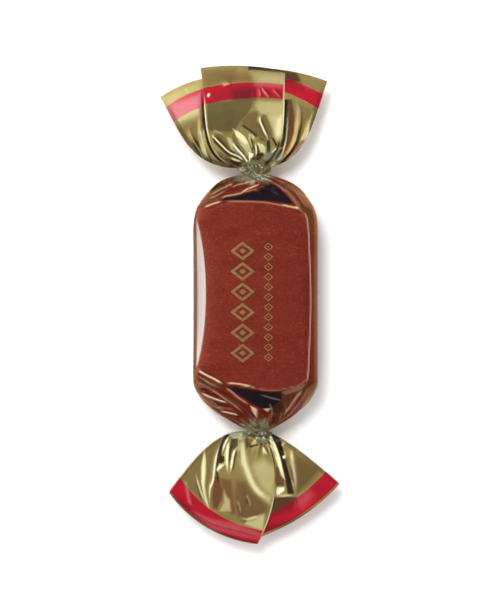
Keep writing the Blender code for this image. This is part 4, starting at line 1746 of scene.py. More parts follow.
HEAD_LEFT_FOLDS = (
    # Painted shade along the side fold, and the painted shade of the step.
    groove(follow(HEAD_LEFT, 0.0, 1.0), 1.0, 0.6, 0.0),
    groove(follow(HEAD_STEP_HIGH, 0.08, 0.88, -0.2), 0.24, 1.0),
    # Inside the stripe, next to the step.
    Patch(((-12.6, 8.2), (-8.3, 9.8), (-7.8, 8.5), (-8.3, 6.1), (-9.4, 3.5), (-10.7, 4.3), (-12.3, 6.7)),
          dusk=0.14, warm=0.2, soft=0.5),
    Patch(((-8.9, 6.7), (-7.8, 7.4), (-7.8, 5.3), (-7.5, 2.7), (-8.1, 2.4), (-8.6, 3.7)), pale=0.6,
          soft=0.35),
    Patch(((-8.9, 10.8), (-7.9, 10.3), (-7.8, 8.5), (-8.3, 7.7), (-8.8, 9.5)), warm=0.8, dusk=0.4,
          soft=0.25),
    # The light on the stripe and on the margin.
    Patch(((-14.5, 11.1), (-8.6, 13.0), (-8.6, 9.5), (-13.2, 7.5)), pale=0.55, soft=1.0),
    Patch(((-12.3, 10.8), (-8.9, 12.0), (-8.9, 10.0), (-11.3, 8.8)), pale=0.5, soft=0.8),
    Patch(((-14.7, 12.2), (-8.8, 14.9), (-8.6, 13.7), (-14.1, 10.8)), pale=0.25, soft=0.5),
    # The pleats at the root.
    Patch(((-11.3, 5.3), (-10.0, 4.0), (-8.4, 2.4), (-9.1, 2.4), (-10.7, 3.7)), pale=0.4, soft=0.3),
    Fold(((-7.8, 1.4), (-8.8, 3.7), (-9.9, 5.6), (-10.7, 7.9)), 0.2, 0.8, 0.8, fade=0.5, wear=0.15),
    Fold(((-6.8, 1.3), (-7.9, 3.7), (-8.6, 6.6), (-8.6, 9.8)), 0.2, 0.6, 0.6, fade=0.5, wear=0.2),
)
HEAD_TUCK_FOLDS = (
    # Painted shade along the side fold.
    groove(follow(HEAD_RIGHT, 0.0, 1.0), 1.0, 0.5, 0.0),
    # The shade of the flap, and a glint along it.
    Patch(((4.6, 12.0), (5.4, 12.0), (5.4, 7.7), (5.1, 5.6), (4.6, 4.3), (4.1, 4.3), (4.6, 6.1)),
          dusk=1.0, soft=0.1),
    streak(((3.5, 1.6), (4.3, 2.9), (4.8, 4.3), (5.1, 5.9), (5.3, 8.2), (5.3, 10.9)), 0.07, 0.6),
    # The facets, from the flap to the side fold.
    Patch(((5.3, 12.0), (6.0, 12.0), (6.5, 9.2), (6.4, 6.6), (5.7, 4.3), (4.7, 2.7), (4.1, 1.9),
           (4.9, 4.3), (5.3, 7.2), (5.4, 9.8)), warm=1.0, dusk=0.28, soft=0.18),
    Patch(((6.2, 11.9), (6.8, 11.4), (7.3, 9.8), (7.4, 7.9), (7.0, 6.1), (6.3, 5.0), (6.4, 6.7),
           (6.5, 9.2), (6.3, 10.6)), dusk=0.16, warm=0.15, soft=0.3),
    Patch(((9.4, 10.0), (8.9, 7.7), (8.8, 6.3), (8.1, 5.6), (7.5, 5.6), (8.4, 7.2), (8.9, 8.8)),
          pale=0.75, soft=0.25),
    Patch(((7.3, 11.1), (9.2, 10.3), (8.8, 8.2), (7.8, 6.4), (7.3, 8.5)), dusk=0.12, warm=0.25, soft=0.4),
    Patch(((6.8, 5.1), (8.3, 5.6), (7.8, 4.0), (6.0, 2.1), (4.1, 1.0), (4.7, 2.6)), warm=0.95, dusk=0.15,
          soft=0.35),
    # The margin and the stripe.
    Patch(((4.9, 16.7), (6.8, 16.2), (7.5, 14.9), (5.9, 14.6), (4.9, 15.3)), dusk=0.6, warm=0.9,
          soft=0.3),
    Patch(((7.6, 15.6), (10.8, 14.6), (10.8, 13.0), (8.3, 13.7)), pale=0.1, warm=0.4, soft=0.5),
    Patch(((5.1, 15.4), (7.6, 14.8), (8.3, 13.3), (5.4, 13.7)), warm=0.65, dusk=0.12, soft=0.4),
    # The creases.
    groove(((3.3, 2.1), (3.9, 3.2), (4.6, 4.2)), 0.2, 0.9),
    streak(((6.7, 12.0), (7.2, 10.1), (7.3, 8.2), (7.0, 6.3)), 0.1, 0.38, 0.06),
    Fold(((3.5, 1.4), (5.5, 3.4), (6.7, 5.6), (7.1, 8.5), (6.7, 11.4)), 0.22, 0.9, 0.7, fade=0.5,
         wear=0.0),
    Fold(((4.4, 1.1), (6.8, 3.7), (8.4, 5.9), (9.2, 9.8)), 0.2, 0.9, 0.8, fade=0.4, wear=0.2, rub=0.12),
)
HEAD_FAN = Fan("head_fan_film", HEAD_END, (
    Layer(190, HEAD_CUT_EDGE, HEAD_STEP_HIGH, (0.6, 3.1, 1.5), bulge=0.6,
          stripe=((2.2, 4.6), (3.3, 6.0)), folds=HEAD_FRONT_FOLDS,
          crumples=crushed(7, 9, (-75.0, 45.0), 13.0, 0.24, 1.1, root=(14, 0.9, 4.5, 0.16))),
    Layer(12, HEAD_STEP_HIGH, HEAD_STEP_LOW, (0.5, 2.5, 1.0), stripe=((3.3, 6.0), (1.6, 4.4))),
    Layer(56, HEAD_STEP_LOW, HEAD_LEFT, (0.5, 2.1, 0.9), bulge=0.4, side_folds=(False, True),
          stripe=((1.6, 4.4), (1.9, 4.6)), folds=HEAD_LEFT_FOLDS,
          crumples=crushed(8, 10, (-95.0, 45.0), 15.0, 0.52, 1.0)),
    back_layer(HEAD_LEFT, HEAD_RIGHT, 3.0, ((1.9, 4.6), (2.2, 4.7)), seeds=(22, 9)),
    Layer(70, HEAD_RIGHT, HEAD_TUCKED_EDGE, (0.2, 1.5, 0.6), bulge=0.6, side_folds=(True, False),
          stripe=((2.2, 4.7), (0.6, 2.4)), folds=HEAD_TUCK_FOLDS,
          crumples=crushed(10, 10, (-45.0, 95.0), 14.0, 0.45, 1.0)),
), FanFilm("head_gold_film", necks=(((-0.3, 21.6), (2.4, 1.3)), ((3.0, 23.6), (1.6, 1.2)))))

FOOT_LEFT = ((-1.3, 0.2), (-7.0, -1.0), (-11.0, 5.0), (-14.5, 9.7))
FOOT_RIGHT = ((1.3, 0.0), (4.8, 1.3), (9.3, 5.0), (13.08, 8.4))
FOOT_CUT_EDGE = ((0.2, 0.3), (4.7, 3.9), (2.6, 13.5), (-0.2, 18.1))
FOOT_TUCKED_EDGE = ((-0.3, 0.5), (-1.0, 5.0), (-0.8, 10.0), (-0.6, 17.3))

FOOT_FRONT_FOLDS = (
    # Painted shade along the side fold at the left, and the cut edge at the right with a painted glint
    # and painted shade.
    groove(follow(FOOT_LEFT, 0.0, 1.0), 0.9, 0.35, 0.0),
    streak(follow(FOOT_CUT_EDGE, 0.5, 1.0, -0.07), 0.08, 0.55, 0.02),
    groove(follow(FOOT_CUT_EDGE, 0.12, 0.52, -0.08), 0.13, 0.7),
    # The film at the left, with two long glints.
    Patch(((-12.9, 8.0), (-11.6, 4.8), (-9.7, 2.6), (-7.5, 0.8), (-5.7, 0.2), (-6.3, 2.4), (-7.0, 5.0),
           (-7.6, 8.0), (-8.8, 10.9), (-10.7, 9.6)), dusk=0.2, warm=0.2, soft=0.35),
    Patch(((-8.7, 2.7), (-8.4, 4.5), (-8.4, 6.4), (-8.6, 8.5), (-8.4, 10.4), (-7.9, 12.4), (-8.4, 11.6),
           (-8.9, 10.0), (-9.2, 8.0), (-9.2, 5.8), (-8.9, 4.0)), pale=1.0, soft=0.14),
    streak(((-8.7, 3.4), (-8.8, 6.1), (-8.9, 8.4), (-8.6, 10.4)), 0.12, 0.55),
    streak(((-10.1, 6.3), (-9.7, 8.2), (-9.1, 10.1), (-8.3, 12.0)), 0.09, 0.7),
    # The first pleat, and the brown that it mirrors.
    streak(((-5.7, 1.0), (-6.3, 2.4), (-6.8, 4.3), (-7.1, 6.1), (-7.3, 7.9), (-7.8, 9.3), (-7.9, 11.2),
            (-7.8, 12.5)), 0.11, 0.9),
    groove(((-6.1, 2.2), (-6.5, 4.5), (-6.6, 6.7), (-6.3, 8.7)), 0.16, 0.85),
    Patch(((-7.1, 7.1), (-6.3, 7.1), (-5.7, 9.3), (-5.9, 10.9), (-6.7, 12.5), (-7.3, 12.2), (-7.5, 10.6),
           (-7.3, 8.8)), warm=0.95, dusk=0.12, soft=0.28),
    Patch(((-6.3, 7.4), (-4.4, 7.7), (-3.9, 10.6), (-3.6, 13.3), (-4.4, 13.3), (-4.7, 10.9), (-5.9, 9.0)),
          warm=0.8, dusk=0.08, soft=0.45),
    # The pleat next to it in painted shade, and the painted glints at its end.
    Patch(((-5.1, 0.2), (-4.6, 0.2), (-5.2, 1.6), (-5.9, 3.2), (-6.0, 4.2), (-6.4, 3.9), (-6.3, 2.4),
           (-5.7, 1.1)), dusk=1.0, soft=0.1),
    Patch(((-6.5, 3.7), (-5.5, 4.0), (-5.4, 4.7), (-5.9, 5.1), (-6.5, 5.0)), dusk=0.95, soft=0.1),
    streak(((-4.4, 0.4), (-5.2, 1.6), (-5.7, 2.9), (-5.9, 3.7)), 0.1, 0.9),
    streak(((-5.4, 5.0), (-6.0, 5.6), (-6.5, 6.1), (-6.3, 6.7)), 0.19, 1.0),
    # The narrow loop of film after that.
    streak(((-4.3, 0.8), (-4.8, 2.2), (-5.0, 4.2), (-5.0, 5.8), (-4.8, 7.2)), 0.15, 1.0, 0.15),
    streak(((-3.4, 2.2), (-4.0, 3.7), (-4.3, 5.5), (-4.7, 7.2)), 0.12, 0.85, 0.15),
    Patch(((-4.4, 1.3), (-3.3, 1.0), (-3.3, 2.2), (-4.1, 3.2), (-4.5, 4.8), (-4.6, 6.1), (-4.7, 3.7)),
          dusk=0.78, soft=0.1),
    Patch(((-4.6, 0.2), (-2.6, 0.2), (-2.6, 1.4), (-3.6, 1.3), (-4.6, 0.8)), pale=0.5, soft=0.2),
    Patch(((-3.6, 1.0), (-2.5, 0.8), (-2.8, 3.2), (-3.5, 3.2)), pale=0.35, soft=0.25),
    # The long soft ridge down the middle.
    Patch(((-2.6, 0.8), (-2.3, 0.8), (-2.2, 2.6), (-1.8, 4.0), (-1.5, 5.3), (-0.9, 6.7), (-0.4, 8.2),
           (0.4, 9.3), (2.0, 10.4), (1.8, 11.6), (0.6, 10.8), (-0.7, 9.6), (-1.5, 8.4), (-2.3, 6.7),
           (-2.8, 5.3), (-2.9, 3.7), (-2.7, 2.1)), pale=0.45, soft=0.5),
    Fold(((-2.5, 1.0), (-2.5, 3.2), (-2.3, 4.8), (-1.8, 6.3), (-1.2, 7.9), (-0.2, 9.5), (1.5, 10.9)),
         0.09, 1.8, 1.4, swell=0.1, fade=0.15, taper=0.7, keen=1.8, soft=0.4, wear=0.45, rub=0.15),
    # The small creases under the twist.
    Patch(((-2.0, 0.6), (-0.6, 0.6), (-0.6, 2.2), (-1.7, 2.2)), warm=0.35, dusk=0.12, soft=0.25),
    groove(((-1.5, 2.4), (-0.7, 2.3), (0.2, 2.1)), 0.14, 0.75),
    streak(((-0.4, 0.8), (-0.2, 1.3)), 0.16, 0.7),
    streak(((0.6, 0.6), (1.2, 1.3)), 0.15, 0.9),
    streak(((0.6, 2.2), (1.0, 3.1), (1.5, 3.9)), 0.15, 0.7),
    # The broad facets towards the stripe.
    Patch(((-0.7, 5.0), (1.0, 4.5), (2.8, 5.8), (2.6, 8.4), (2.2, 10.3), (0.6, 9.2), (-0.4, 7.7),
           (-1.2, 5.8)), pale=0.4, soft=0.8),
    Patch(((-3.6, 8.0), (-2.0, 8.0), (-0.7, 9.8), (0.6, 10.9), (1.8, 11.9), (1.4, 13.2), (-1.4, 13.8),
           (-3.3, 13.5), (-4.1, 10.9)), warm=0.7, dusk=0.1, soft=0.8),
    Patch(((-5.5, 9.2), (-5.2, 10.4), (-4.6, 10.9), (-4.4, 12.8), (-6.3, 12.8), (-5.5, 11.4)), pale=0.42,
          soft=0.14),
    Patch(((-3.9, 11.6), (-1.4, 12.0), (0.9, 11.9), (1.4, 13.0), (-1.0, 13.8), (-3.3, 13.8)), warm=0.75,
          soft=0.6),
    # The creases across them, and the light next to the stripe.
    streak(((-3.3, 10.9), (-3.0, 12.2), (-2.8, 13.5)), 0.1, 0.25),
    streak(((-2.0, 10.0), (-1.4, 11.4), (-1.4, 12.5)), 0.14, 0.2),
    groove(((-2.5, 9.3), (-2.0, 11.2), (-2.2, 12.8)), 0.3, 0.25),
    Patch(((-1.8, 14.0), (1.0, 13.2), (0.7, 15.9), (-2.2, 14.9)), pale=0.55, soft=0.25),
    streak(((-3.3, 13.8), (-1.8, 14.1), (0.6, 13.4)), 0.07, 0.3),
    groove(((-3.0, 13.6), (-1.4, 13.7), (0.6, 13.0)), 0.14, 0.3),
    # The stripe: its sheen, the painted shade along its rim, and its crease.
    Patch(((-12.0, 8.0), (-11.5, 8.0), (-10.7, 11.9), (-11.3, 11.4)), pale=0.3),
    Patch(((-11.0, 12.8), (-7.1, 14.1), (-3.0, 14.8), (0.6, 16.4), (-0.1, 17.5), (-3.8, 16.7),
           (-7.8, 15.6), (-10.0, 14.0)), pale=0.17, soft=0.35),
    Patch(((-14.5, 10.0), (-12.3, 11.2), (-7.1, 15.9), (-3.0, 17.2), (-0.2, 17.8), (-0.4, 18.5),
           (-4.6, 17.8), (-8.6, 16.4), (-13.2, 12.2)), dusk=0.45, soft=0.1),
    Fold(((-11.3, 12.2), (-7.5, 14.6), (-3.6, 15.7), (0.6, 16.9)), 0.05, 0.3, 0.9, swell=0.15, fade=0.1,
         taper=1.0, dusk=(0.12, 0.0), wear=0.05),
)
FOOT_TUCK_FOLDS = (
    # Painted shade along the side fold.
    groove(follow(FOOT_RIGHT, 0.0, 1.0), 0.8, 0.4, 0.0),
    # The pleat along the flap, with a painted highlight.
    Patch(((1.2, 1.0), (2.2, 0.8), (2.6, 2.9), (2.8, 5.5), (1.8, 3.9), (1.0, 2.1)), dusk=0.15, soft=0.2),
    Patch(((1.7, 0.5), (2.2, 0.8), (2.8, 2.1), (3.3, 3.9), (3.7, 5.6), (4.3, 7.9), (3.6, 7.1), (3.1, 5.3),
           (2.5, 3.7), (1.9, 2.4)), pale=1.0, soft=0.12),
    streak(((2.0, 1.0), (2.6, 2.4), (3.2, 4.2), (3.7, 6.1), (4.1, 7.5)), 0.15, 0.9),
    Patch(((2.8, 5.6), (3.3, 5.8), (4.1, 7.9), (4.1, 8.8), (2.8, 8.8), (2.6, 7.7)), warm=0.8, dusk=0.3),
    # The pleat beside it, in painted shade.
    Patch(((1.4, -0.3), (2.5, 0.3), (3.6, 1.4), (3.9, 2.9), (4.4, 4.8), (4.9, 6.7), (5.4, 8.7),
           (5.7, 10.1), (4.7, 10.1), (4.4, 8.4), (4.1, 6.7), (3.6, 4.5), (3.1, 2.7), (2.3, 1.3)),
          dusk=0.97, warm=0.4, soft=0.1),
    Patch(((4.3, 2.9), (4.9, 3.9), (5.4, 6.1), (5.5, 8.0), (5.1, 7.4), (4.6, 5.1)), warm=0.3),
    streak(((5.4, 2.4), (5.6, 5.3), (5.9, 7.7), (6.0, 10.0)), 0.26, 0.42, 0.12),
    # The film at the right.
    Patch(((5.7, 3.2), (10.0, 6.1), (7.6, 8.8), (6.2, 10.0)), warm=0.6, dusk=0.28, soft=0.6),
    # The facet with a painted glint, and the rim over the stripe with a painted highlight.
    Patch(((3.0, 9.0), (4.2, 9.0), (4.1, 9.6), (3.1, 10.3), (2.8, 9.8)), crest=0.95, soft=0.1),
    Patch(((2.6, 10.0), (5.4, 10.0), (5.4, 10.5), (2.3, 10.6)), pale=0.2, warm=0.2, soft=0.12),
    # The stripe: in the flap's shade, then lit, with painted shade along its rim.
    Patch(((2.2, 10.6), (6.2, 10.6), (5.4, 12.4), (1.8, 13.3)), warm=1.0, dusk=0.5),
    Patch(((1.8, 12.7), (5.7, 11.7), (5.4, 13.0), (1.5, 14.0)), dusk=0.4, soft=0.2),
    Patch(((5.9, 11.4), (7.9, 9.3), (8.9, 10.3), (7.1, 12.4)), pale=0.16, soft=0.8),
    Patch(((0.6, 15.3), (4.3, 14.6), (6.7, 13.5), (9.9, 11.6), (13.1, 8.4), (13.4, 9.0), (9.9, 12.2),
           (5.1, 15.1), (0.9, 16.2)), dusk=0.55, soft=0.1),
    # The creases.
    streak(((3.9, 3.9), (4.3, 4.5)), 0.16, 1.0),
    streak(((2.8, 10.5), (4.1, 10.4), (5.7, 10.2)), 0.07, 0.55),
    Fold(((1.5, 0.3), (3.6, 3.2), (4.9, 6.7), (5.7, 9.8)), -0.12, 0.6, 0.6, swell=0.15, taper=1.0,
         wear=0.0),
    groove(((6.0, 10.6), (6.2, 11.2), (6.0, 12.0)), 0.14, 0.5),
)
FOOT_FAN = Fan("foot_fan_film", FOOT_END, (
    Layer(230, FOOT_CUT_EDGE, FOOT_LEFT, (0.6, 2.9, 1.2), bulge=1.8, side_folds=(False, True),
          stripe=((0.05, 2.5), (0.3, 3.1)), folds=FOOT_FRONT_FOLDS,
          crumples=crushed(11, 10, (-95.0, 45.0), 14.0, 0.20, 1.1, root=(14, 0.6, 3.5, 0.12))),
    back_layer(FOOT_LEFT, FOOT_RIGHT, 7.0, ((0.3, 3.1), (0.3, 3.0)), seeds=(32, 12)),
    Layer(90, FOOT_RIGHT, FOOT_TUCKED_EDGE, (0.2, 1.3, 0.5), bulge=1.1, side_folds=(True, False),
          stripe=((0.3, 3.0), (0.35, 3.0)), folds=FOOT_TUCK_FOLDS,
          crumples=crushed(13, 10, (-45.0, 95.0), 14.0, 0.45, 1.0)),
), FanFilm("foot_gold_film", necks=(((-2.3, -21.1), (2.0, 0.8)), ((1.3, -21.6), (1.5, 0.9)))))


# ------------------------------------------------- what repeats, by Geometry Nodes


class GeometryTree(Weave):
    """A Geometry Nodes tree with named inputs."""

    def __init__(self, name: str, inputs: dict[str, float | int]) -> None:
        """Starts the tree.

        Args:
            name: of the tree.
            inputs: its numbers with their defaults, besides a material.
        """
        super().__init__(bpy.data.node_groups.new(name, "GeometryNodeTree"))
        new_socket = self.tree.interface.new_socket
        for label, default in inputs.items():
            kind = "NodeSocketInt" if isinstance(default, int) else "NodeSocketFloat"
            new_socket(label, in_out="INPUT", socket_type=kind).default_value = default
        new_socket("Material", in_out="INPUT", socket_type="NodeSocketMaterial")
        new_socket("Geometry", in_out="OUTPUT", socket_type="NodeSocketGeometry")
        self.given = self.node("NodeGroupInput").outputs
        self.put = self.node("NodeGroupOutput")

    def shape(self, kind: str, inputs: dict | None = None, **settings: object) -> Socket:
        """Adds a node and returns its first output."""
        return self.node(kind, inputs, **settings).outputs[0]

    def xyz(self, x: Value, y: Value, z: Value) -> Socket:
        """Joins three numbers to a vector."""
        return self.shape("ShaderNodeCombineXYZ", {0: x, 1: y, 2: z})

    def square(self, value: Value) -> Socket:
        """The square of a value."""
        return self.math("POWER", value, 2.0)

    def join(self, *shapes: Socket) -> Socket:
        """Puts shapes together.

        Args:
            shapes: the geometry sockets to put together.

        Returns:
            The geometry of them all.
        """
        both = self.node("GeometryNodeJoinGeometry")
        for shape in shapes:
            self.feed(both.inputs[0], shape)
        return both.outputs[0]

    def finish(self, shape: Socket, position: Socket, smooth_shading: bool) -> None:
        """Moves the shape's points, realizes it, gives it the material and puts it out.

        Args:
            shape: the geometry.
            position: where each point goes.
            smooth_shading: whether it is shaded smooth.
        """
        moved = self.shape("GeometryNodeSetPosition", {"Geometry": shape, "Position": position})
        real = self.shape("GeometryNodeRealizeInstances", {0: moved})
        shaded = self.shape("GeometryNodeSetShadeSmooth", {0: real, "Shade Smooth": smooth_shading})
        dressed = self.shape("GeometryNodeSetMaterial", {"Geometry": shaded,
                                                         "Material": self.given["Material"]})
        self.feed(self.put.inputs[0], dressed)

    def grow(self, name: str, slot: Slot, values: dict[str, object]) -> None:
        """Makes a piece from the tree, as a plain mesh, and hands it over.

        Args:
            name: of the piece.
            slot: not used.
            values: what the tree's inputs are, by name.
        """
        obj = bpy.data.objects.new(name, bpy.data.meshes.new(name))
        bpy.context.scene.collection.objects.link(obj)
        modifier = obj.modifiers.new("shape", "NODES")
        modifier.node_group = self.tree
        for item in self.tree.interface.items_tree:
            if item.in_out == "INPUT":
                modifier[item.identifier] = values[item.name]
        settle(obj)
        point_outwards(obj)
        hand_over(obj)


def point_outwards(obj: Object) -> None:
    """Turns the faces of a closed piece outwards.

    Args:
        obj: the piece.
    """
    shape = bmesh.new()
    shape.from_mesh(obj.data)
    bmesh.ops.remove_doubles(shape, verts=shape.verts, dist=1e-7)
    bmesh.ops.recalc_face_normals(shape, faces=shape.faces)
    shape.to_mesh(obj.data)
    shape.free()


@dataclass
class Twist:
    """The film where it is twisted shut: a pinched waist that spreads into the fan."""

    name: str  # of the piece
    end: BarEnd  # the end of the bar that it closes
    seed: float  # fixes how it is crushed
    before: float = 0.9  # how far it reaches back into the bar, in mm
    beyond: float = 2.0  # how far it reaches into the fan
    waist: float = 1.30  # its radius where it is tightest
    spread: float = 2.5  # half its width in the root of the fan
    swell: float = 1.5  # half its height there
    flare: float = 0.9  # how much wider it is inside the bar
    tuck: float = 0.5  # how much smaller it is at its other end
    gathers: float = 11.0  # how many pleats run round it
    depth: float = 0.10  # how deep they are, as a share of the radius
    finer: float = 0.4  # depth of the pleats of half the width among them, as a share of theirs
    turn: float = 0.7  # how far they wind round it, in radians
    crush: float = 0.42  # how deeply the film is crushed, in mm
    crush_scale: float = 0.9  # of the noise that crushes it, per mm
    ridge: float = 0.12  # how far from the noise's middle value a ridge reaches
    ridge_gain: float = 6.0  # how steep the ridges' sides are
    opened: float = 0.55  # share of the way beyond where it has spread fully
    opening_rate: float = 2.86  # a quarter turn over that share, in radians
    around: int = 132  # how many points each ring has
    rings: int = 64  # how many steps it has along it

    def half_sizes(self, tree: GeometryTree, along: Socket) -> tuple[Socket, Socket]:
        """Works out half the width and half the height of each ring.

        Args:
            tree: the tree.
            along: how far past the waist the ring is, in mm.

        Returns:
            The two half sizes in mm.
        """
        give = tree.given
        past = tree.math("DIVIDE", along, give["Beyond"], clamp=True)
        back = tree.math("DIVIDE", tree.times(along, -1.0), give["Before"], clamp=True)
        spread = tree.times(tree.math("MINIMUM", past, self.opened), self.opening_rate)
        opening = tree.math("SINE", spread)
        bunch = tree.math("SINE", tree.times(past, math.pi))
        flare = tree.times(tree.square(back), self.flare)
        tuck = tree.times(tree.math("POWER", past, 3.0), self.tuck)
        wide = tree.between(give["Waist"], give["Spread"], opening)
        high = tree.between(give["Waist"], give["Swell"], bunch)
        return tree.minus(tree.plus(wide, flare), tuck), tree.minus(tree.plus(high, flare), tuck)

    def tree(self, values: dict[str, float]) -> GeometryTree:
        """Makes the tree: a tube whose points are set by their place round and along it.

        Args:
            values: the tree's numbers by name.

        Returns:
            The finished tree.
        """
        tree = GeometryTree("twisted_film", values)
        give = tree.given
        grid = tree.shape("GeometryNodeMeshCylinder", {
            "Vertices": self.around, "Side Segments": self.rings, "Fill Segments": 1,
            "Radius": 1.0, "Depth": 1.0}, fill_type="TRIANGLE_FAN")
        grid_x, grid_y, grid_z = tree.parts(tree.shape("GeometryNodeInputPosition"))
        share = tree.plus(grid_z, 0.5)
        angle = tree.math("ARCTAN2", grid_y, grid_x)
        hub = tree.math("SQRT", tree.plus(tree.square(grid_x), tree.square(grid_y)))
        span = tree.plus(give["Before"], give["Beyond"])
        along = tree.minus(tree.times(share, span), give["Before"])
        wide, high = self.half_sizes(tree, along)

        wound = tree.math("MULTIPLY_ADD", give["Turn"], share, angle)
        pleats = tree.math("COSINE", tree.times(angle, give["Gathers"]))
        finer = tree.math("COSINE", tree.times(angle, tree.times(give["Gathers"], 2.0)))
        pleats = tree.math("MULTIPLY_ADD", finer, self.finer, pleats)
        swell = tree.math("MULTIPLY_ADD", tree.times(pleats, give["Depth"]), hub, 1.0)
        cosine = tree.times(tree.math("COSINE", wound), hub)
        sine = tree.times(tree.math("SINE", wound), hub)
        x, z = tree.times(cosine, wide, swell), tree.times(sine, high, swell)

        stretched = tree.xyz(x, tree.times(along, 0.5), z)
        crushed = tree.shape("ShaderNodeTexNoise", {
            "Vector": stretched, "Scale": self.crush_scale, "Detail": 1.0, "Roughness": 0.6,
            "W": give["Seed"]}, noise_dimensions="4D")
        off_middle = tree.math("ABSOLUTE", tree.minus(crushed, 0.5))
        dent = tree.times(tree.minus(self.ridge, off_middle), self.ridge_gain, give["Crush"])
        x = tree.plus(tree.math("MULTIPLY_ADD", cosine, dent, x), give["Centre X"])
        y = tree.times(tree.plus(along, give["Centre Y"]), give["Side"])
        z = tree.plus(tree.math("MULTIPLY_ADD", sine, dent, z), give["Centre Z"])
        tree.finish(grid, tree.xyz(*(tree.times(size, MM) for size in (x, y, z))), True)
        return tree

    def build(self) -> None:
        """Makes the twist."""
        values = {"Seed": self.seed, "Before": self.before, "Beyond": self.beyond,
                  "Waist": self.waist, "Spread": self.spread, "Swell": self.swell,
                  "Gathers": self.gathers, "Depth": self.depth, "Turn": self.turn,
                  "Crush": self.crush, "Side": float(self.end.side.value),
                  "Centre X": self.end.twist_x, "Centre Y": self.end.twist,
                  "Centre Z": self.end.twist_height}
        film = PinchedFilm(f"{self.name}_film").material()
        self.tree(values).grow(self.name, Slot.GOLD_FILM, {**values, "Material": film})


